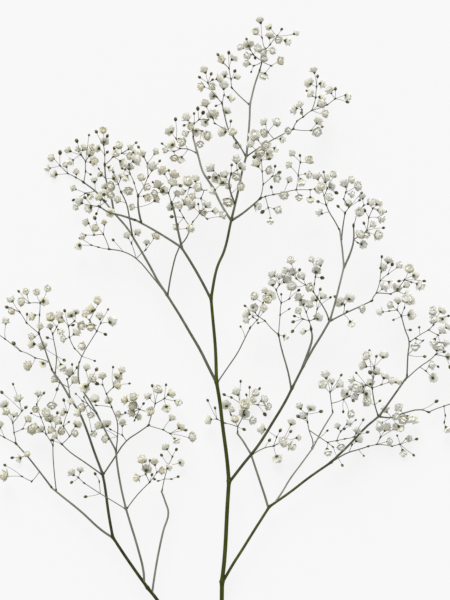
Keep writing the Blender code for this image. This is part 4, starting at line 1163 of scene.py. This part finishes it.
def ramp_node(tree, source, stops):
    """A colour ramp fed by a value."""
    ramp = tree.nodes.new("ShaderNodeValToRGB")
    elements = ramp.color_ramp.elements
    while len(elements) < len(stops):
        elements.new(0.5)
    for element, (place, colour) in zip(elements, stops):
        element.position = place
        element.color = (*colour, 1.0)
    tree.links.new(source, ramp.inputs["Fac"])
    return ramp.outputs["Color"]


def attribute_node(tree, label):
    """The value that a piece's own attribute holds."""
    attribute = tree.nodes.new("ShaderNodeAttribute")
    attribute.attribute_name = label
    return attribute.outputs["Fac"]


def mixed(tree, factor, first, second):
    """A colour between two, by a factor."""
    mix = tree.nodes.new("ShaderNodeMix")
    mix.data_type = "RGBA"
    tree.links.new(factor, mix.inputs["Factor"])
    tree.links.new(first, mix.inputs[6])
    tree.links.new(second, mix.inputs[7])
    return mix.outputs[2]


def mottle_group():
    """A node group that mottles two colours along a stem, by noise on the piece's own coordinates."""
    tree = bpy.data.node_groups.new("mottle along the stem", "ShaderNodeTree")
    for label in ("Grain", "Detail", "From", "To"):
        tree.interface.new_socket(label, in_out="INPUT", socket_type="NodeSocketFloat")
    for label in ("Dark", "Light"):
        tree.interface.new_socket(label, in_out="INPUT", socket_type="NodeSocketColor")
    tree.interface.new_socket("Amount", in_out="OUTPUT", socket_type="NodeSocketFloat")
    tree.interface.new_socket("Colour", in_out="OUTPUT", socket_type="NodeSocketColor")
    given = tree.nodes.new("NodeGroupInput")
    result = tree.nodes.new("NodeGroupOutput")
    place = tree.nodes.new("ShaderNodeTexCoord")
    stretch = tree.nodes.new("ShaderNodeMapping")
    stretch.inputs["Scale"].default_value = ALONG_STEM
    noise = tree.nodes.new("ShaderNodeTexNoise")
    span = tree.nodes.new("ShaderNodeMapRange")
    tree.links.new(place.outputs["Object"], stretch.inputs["Vector"])
    tree.links.new(stretch.outputs["Vector"], noise.inputs["Vector"])
    tree.links.new(given.outputs["Grain"], noise.inputs["Scale"])
    tree.links.new(given.outputs["Detail"], noise.inputs["Detail"])
    tree.links.new(noise.outputs["Fac"], span.inputs["Value"])
    tree.links.new(given.outputs["From"], span.inputs["From Min"])
    tree.links.new(given.outputs["To"], span.inputs["From Max"])
    colour = mixed(tree, span.outputs["Result"], given.outputs["Dark"], given.outputs["Light"])
    tree.links.new(span.outputs["Result"], result.inputs["Amount"])
    tree.links.new(colour, result.inputs["Colour"])
    return tree


def mottled(tree, mottle, grain, detail, span, pair=()):
    """Places the mottle in a material with its own values, and returns its outputs."""
    node = tree.nodes.new("ShaderNodeGroup")
    node.node_tree = mottle
    node.inputs["Grain"].default_value = grain
    node.inputs["Detail"].default_value = detail
    node.inputs["From"].default_value, node.inputs["To"].default_value = span
    for label, colour in zip(("Dark", "Light"), pair):
        node.inputs[label].default_value = (*colour, 1.0)
    return node.outputs


def limb_material(name, mottle, grain, dark, fresh):
    """Mottled skin with long fresh green stretches, paler where the pale attribute says."""
    paint, tree, shader = new_material(name, 0.5)
    stretches = mottled(tree, mottle, STRETCH_GRAIN, STRETCH_DETAIL, STRETCH_SPAN)["Amount"]
    dark_skin = mottled(tree, mottle, grain, SKIN_DETAIL, SKIN_SPAN, dark)["Colour"]
    fresh_skin = mottled(tree, mottle, grain, SKIN_DETAIL, SKIN_SPAN, fresh)["Colour"]
    pale_skin = mottled(tree, mottle, grain, SKIN_DETAIL, SKIN_SPAN, LIMB_PALE)["Colour"]
    green_skin = mixed(tree, stretches, dark_skin, fresh_skin)
    skin = mixed(tree, attribute_node(tree, "pale"), green_skin, pale_skin)
    tree.links.new(skin, shader.inputs["Base Color"])
    return paint


def twig_material(mottle):
    paint, tree, shader = new_material("twig skin", 0.55)
    skin = mottled(tree, mottle, TWIG_GRAIN, TWIG_DETAIL, SKIN_SPAN, TWIG_GREEN)["Colour"]
    tree.links.new(skin, shader.inputs["Base Color"])
    return paint


def calyx_material():
    paint, tree, shader = new_material("calyx and bud green", 0.6)
    green = ramp_node(tree, attribute_node(tree, "shade"), CALYX_GREEN)
    tree.links.new(green, shader.inputs["Base Color"])
    return paint


def petal_material():
    paint, tree, shader = new_material("creamy petals", 0.65)
    # Petals darker towards their feet: partly their greenish base, partly painted shade deep in the bloom
    # and on its lower side
    shade = attribute_node(tree, "shade")
    pale = ramp_node(tree, shade, PETAL_PALE)
    warm = ramp_node(tree, shade, PETAL_WARM)
    tree.links.new(mixed(tree, attribute_node(tree, "tint"), pale, warm), shader.inputs["Base Color"])
    return paint


def floor_material():
    paint, _, shader = new_material("pale surface", 0.9)
    shader.inputs["Base Color"].default_value = FLOOR_GREY
    shader.inputs["Specular IOR Level"].default_value = 0.0
    shader.inputs["Emission Color"].default_value = (1.0, 1.0, 1.0, 1.0)
    shader.inputs["Emission Strength"].default_value = FLOOR_GLOW
    return paint


def bowed(start, end, draw, bow):
    """Three points from start to end with a slight bow."""
    length = float(np.linalg.norm(end - start))
    side = np.array([draw.uniform(-1, 1) for _ in range(3)]) * bow * length
    return [start, (start + end) / 2 + side, end]


def tapered(radius, taper):
    return [radius * share for share in taper]


def twig_loads(growth):
    """How many blooms and buds hang on each twig, on the twigs past it too."""
    ends = [tuple(end.round(3)) for _, end in growth.twigs]
    loads = [0] * len(ends)
    for root, _, _, _ in growth.blooms + growth.buds:
        place = tuple(root.round(3))
        while place in ends:
            i = ends.index(place)
            loads[i] += 1
            place = tuple(growth.twigs[i][0].round(3))
    return loads


def add_knot(greens, forms, place, axis, size, draw):
    """A dark knot with its pair of small pointed bracts."""
    spin = draw.uniform(0, math.tau)
    greens.put(forms["knot"], place, turned(axis, spin), size)
    for turn in (0.0, math.pi):
        length = draw.uniform(*BRACT_LENGTHS) * size
        greens.put(forms["bract"], place - axis * BRACT_DROP, turned(axis, spin + turn), length)


def dress_stalk(points, girth, lines, greens, forms, draw):
    """The stalk of a spray, with a knot near its foot and one at its end."""
    last = len(points) - 1
    first_radius = STALK_FINE[0] * girth
    last_radius = STALK_FINE[1] * (1.0 + girth) / 2
    steps = [first_radius + (last_radius - first_radius) * i / last for i in range(last + 1)]
    lines.append((points, steps))
    swelling = STALK_SWELLING * math.sqrt(girth)
    first_way = unit(points[1] - points[0])
    add_knot(greens, forms, points[0] + first_way * STALK_KNOT_REACH, first_way, swelling, draw)
    add_knot(greens, forms, points[-1], unit(points[-1] - points[-2]), swelling, draw)


def dress_twigs(growth, lines, greens, forms, draw):
    """Twigs, stouter where they carry more, with a knot at the end of each."""
    for (root, end), load in zip(growth.twigs, twig_loads(growth)):
        radius = TWIG_FINE + TWIG_GAIN * math.sqrt(load)
        lines.append((bowed(root, end, draw, TWIG_BOW), tapered(radius, TWIG_TAPER)))
        add_knot(greens, forms, end, unit(end - root), 1.0, draw)


def dress_blooms(name, growth, lines, greens, blooms, forms, draw):
    """Pedicels, calyxes and open blooms, with painted side light that makes the petals warmer in colour
    towards the left side.
    """
    for root, heart, facing, size in growth.blooms:
        neck = heart - facing * size * NECK_DROP
        lines.append((bowed(root, neck, draw, PEDICEL_BOW), tapered(PEDICEL_FINE, BLOOM_PEDICEL_TAPER)))
        turn = turned(facing, draw.uniform(0, math.tau))
        form = draw.choice(forms["blooms"])
        # Painted side light: the further left a bloom stands, the warmer its petals, as if lit from that
        # side
        painted_side_light = min(max(PAINTED_SIDE_LIGHT_MIDDLE - heart[0] / PAINTED_SIDE_LIGHT_WIDTH, 0.0), 1.0)
        reach = TINT_REACH + TINT_PAINTED_LIGHT_REACH * painted_side_light
        # The tint is each bloom's own random tone plus the painted side light
        tint = draw.uniform(0.0, 1.0) ** 2 * reach + TINT_PAINTED_LIGHT * painted_side_light
        spread = draw.uniform(*BLOOM_SPREAD) * BLOOM_SHARES.get(name, 1.0)
        greens.put(forms["calyx"], heart, turn, size)
        blooms.put(form, heart, turn, size * spread, tint)


def dress_buds(growth, lines, greens, forms, draw):
    """Pedicels with a closed bud at the end of each."""
    for root, heart, _, size in growth.buds:
        axis = unit(heart - root)
        neck = heart - axis * size
        lines.append((bowed(root, neck, draw, PEDICEL_BOW), tapered(PEDICEL_FINE, BUD_PEDICEL_TAPER)))
        greens.put(forms["bud"], heart, turned(axis, 0.0), size * draw.uniform(*BUD_SPREAD))


def put_in_place(piece, name):
    """The piece rides on the part's one body, in place of the named node's solid."""
    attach(piece, "root")
    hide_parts(name)


def dress_spray(name, growth, points, paints, forms, draw):
    """Stalk, twigs, pedicels, calyxes, buds, bracts and blooms of one spray, in place of its solid."""
    lines = []
    greens = Pile()
    blooms = Pile()
    dress_stalk(points, STALK_GIRTH.get(name, 1.0), lines, greens, forms, draw)
    dress_twigs(growth, lines, greens, forms, draw)
    dress_blooms(name, growth, lines, greens, blooms, forms, draw)
    dress_buds(growth, lines, greens, forms, draw)
    lowest = (-np.inf, -np.inf, LOWEST_STALK)
    lines = [([np.maximum(point, lowest) for point in line], radii) for line, radii in lines]
    put_in_place(smooth_stems(name + "_twigs", lines, paints["twig"], 1, 3), name)
    put_in_place(blooms.mesh(name + "_blooms", paints["petal"]), name)
    put_in_place(greens.mesh(name + "_calyxes", paints["calyx"]), name)


def rooted(parent, first_place, points, shifts):
    """The line of a limb with its foot sunk in its parent, and some of its points moved across."""
    root, way, _, at_tip = nearest_on(parent, *first_place)
    line = [root - way * (TIP_ROOT_DROP if at_tip else ROOT_DROP)]
    for i in range(1, len(points)):
        line.append(points[i] + np.array((shifts.get(i, 0.0), 0.0, 0.0)))
    return line


def pale_along(piece, line, first_pale, last_pale):
    """Sets how pale the skin of a limb is, from its start to its end."""
    line = np.array(line) * MM
    places = np.array([corner.co[:] for corner in piece.data.vertices])
    nearest = np.argmin(np.linalg.norm(places[:, None] - line[None], axis=2), axis=1)
    share = (nearest / (len(line) - 1)) ** PALE_POWER
    pale = first_pale + (last_pale - first_pale) * share
    layer = piece.data.attributes.new("pale", "FLOAT", "POINT")
    layer.data.foreach_set("value", pale.clip(0.0, 1.0))


def dress_limb(name, points, radii, knots, paint):
    """A smooth knotted stem in place of its solid, paler towards its tip."""
    girth, first_pale, last_pale = LIMB_LOOKS[name]
    line, radii = knotted(points, [radius * girth for radius in radii], knots)
    piece = smooth_stems(name + "_skin", [(line, radii)], paint, 3, 6)
    pale_along(piece, line, first_pale, last_pale)
    put_in_place(piece, name)


def branch_knots(name, points):
    """Places along a branch where another limb leaves it."""
    knots = set()
    leaving = [b[5][0] for b in BRANCHES if b[1] == name] + [s[3][0] for s in SPRAYS if s[1] == name]
    for across, down in leaving:
        place = plan(across, down, 0)[:2]
        gaps = [float(np.linalg.norm(p[:2] - place)) for p in points]
        if min(gaps) < KNOT_NEAR:
            knots.add(gaps.index(min(gaps)))
    return knots


def set_light():
    """A bright room all round, and a wide soft window from the top of the picture."""
    scene = bpy.context.scene
    world = bpy.data.worlds.new("soft studio")
    scene.world = world
    world.use_nodes = True
    room = world.node_tree.nodes["Background"]
    room.inputs["Color"].default_value = (1.0, 1.0, 1.0, 1.0)
    room.inputs["Strength"].default_value = WORLD_LIGHT
    window = bpy.data.lights.new("window light", "SUN")
    window.energy = WINDOW_LIGHT
    window.angle = math.radians(WINDOW_SOFTNESS)
    lamp = bpy.data.objects.new("window light", window)
    lamp.rotation_euler = (math.radians(WINDOW_TURN[0]), math.radians(WINDOW_TURN[1]), 0)
    scene.collection.objects.link(lamp)


def set_view():
    """A long lens that looks straight down on the stem."""
    scene = bpy.context.scene
    scene.render.engine = "CYCLES"
    scene.cycles.samples = 192
    scene.cycles.use_denoising = False
    scene.view_settings.view_transform = "Standard"
    camera = bpy.data.cameras.new("camera")
    camera.lens = LENS
    eye = bpy.data.objects.new("camera", camera)
    eye.location = Vector(plan(*VIEW_AT)) * MM + Vector((0, 0, VIEW_HEIGHT))
    scene.collection.objects.link(eye)
    scene.camera = eye


def lay_floor():
    bpy.ops.mesh.primitive_plane_add(size=12)
    floor = bpy.context.view_layer.objects.active
    floor.name = "pale_surface"
    floor.data.materials.append(floor_material())
    floor.select_set(False)


def small_forms(draw):
    """Each small form that repeats, modelled once; the blooms open to different degrees."""
    flat = flat_petal()
    heart = heart_form()
    return {
        "blooms": [bloom_form(openness, flat, heart, draw) for openness in BLOOM_OPENNESS],
        "calyx": calyx_form(),
        "bud": bud_form(),
        "knot": knot_form(),
        "bract": bract_form(),
    }


def dress_limbs(paths, stem_paint, branch_paint):
    """The main stem with its own knots, and the branches with a knot wherever a limb leaves."""
    main_radii = [abs(r) for _, _, _, r in MAIN_STEM]
    main_knots = {i for i, row in enumerate(MAIN_STEM) if row[3] < 0}
    dress_limb("main_stem", paths["main_stem"][0], main_radii, main_knots, stem_paint)
    for name, parent, _, _, _, places in BRANCHES:
        points, radii = paths[name]
        points = rooted(paths[parent], places[0], points, LIMB_SHIFTS.get(name, {}))
        dress_limb(name, points, radii, branch_knots(name, points), branch_paint)


def main():
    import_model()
    bpy.ops.object.select_all(action="DESELECT")
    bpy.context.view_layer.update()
    draw = random.Random(FINE_SEED)
    paths, sprays = grow_all()
    mottle = mottle_group()
    stem_paint = limb_material("main stem skin", mottle, STEM_GRAIN, STEM_DARK, STEM_FRESH)
    branch_paint = limb_material("branch skin", mottle, BRANCH_GRAIN, BRANCH_DARK, BRANCH_FRESH)
    paints = {"twig": twig_material(mottle), "calyx": calyx_material(), "petal": petal_material()}
    forms = small_forms(draw)
    dress_limbs(paths, stem_paint, branch_paint)
    for name, parent, _, places, _, _, _ in SPRAYS:
        points = rooted(paths[parent], places[0], paths[name][0], {})
        dress_spray(name, sprays[name][0], points, paints, forms, draw)
    lay_floor()
    set_light()
    set_view()


main()
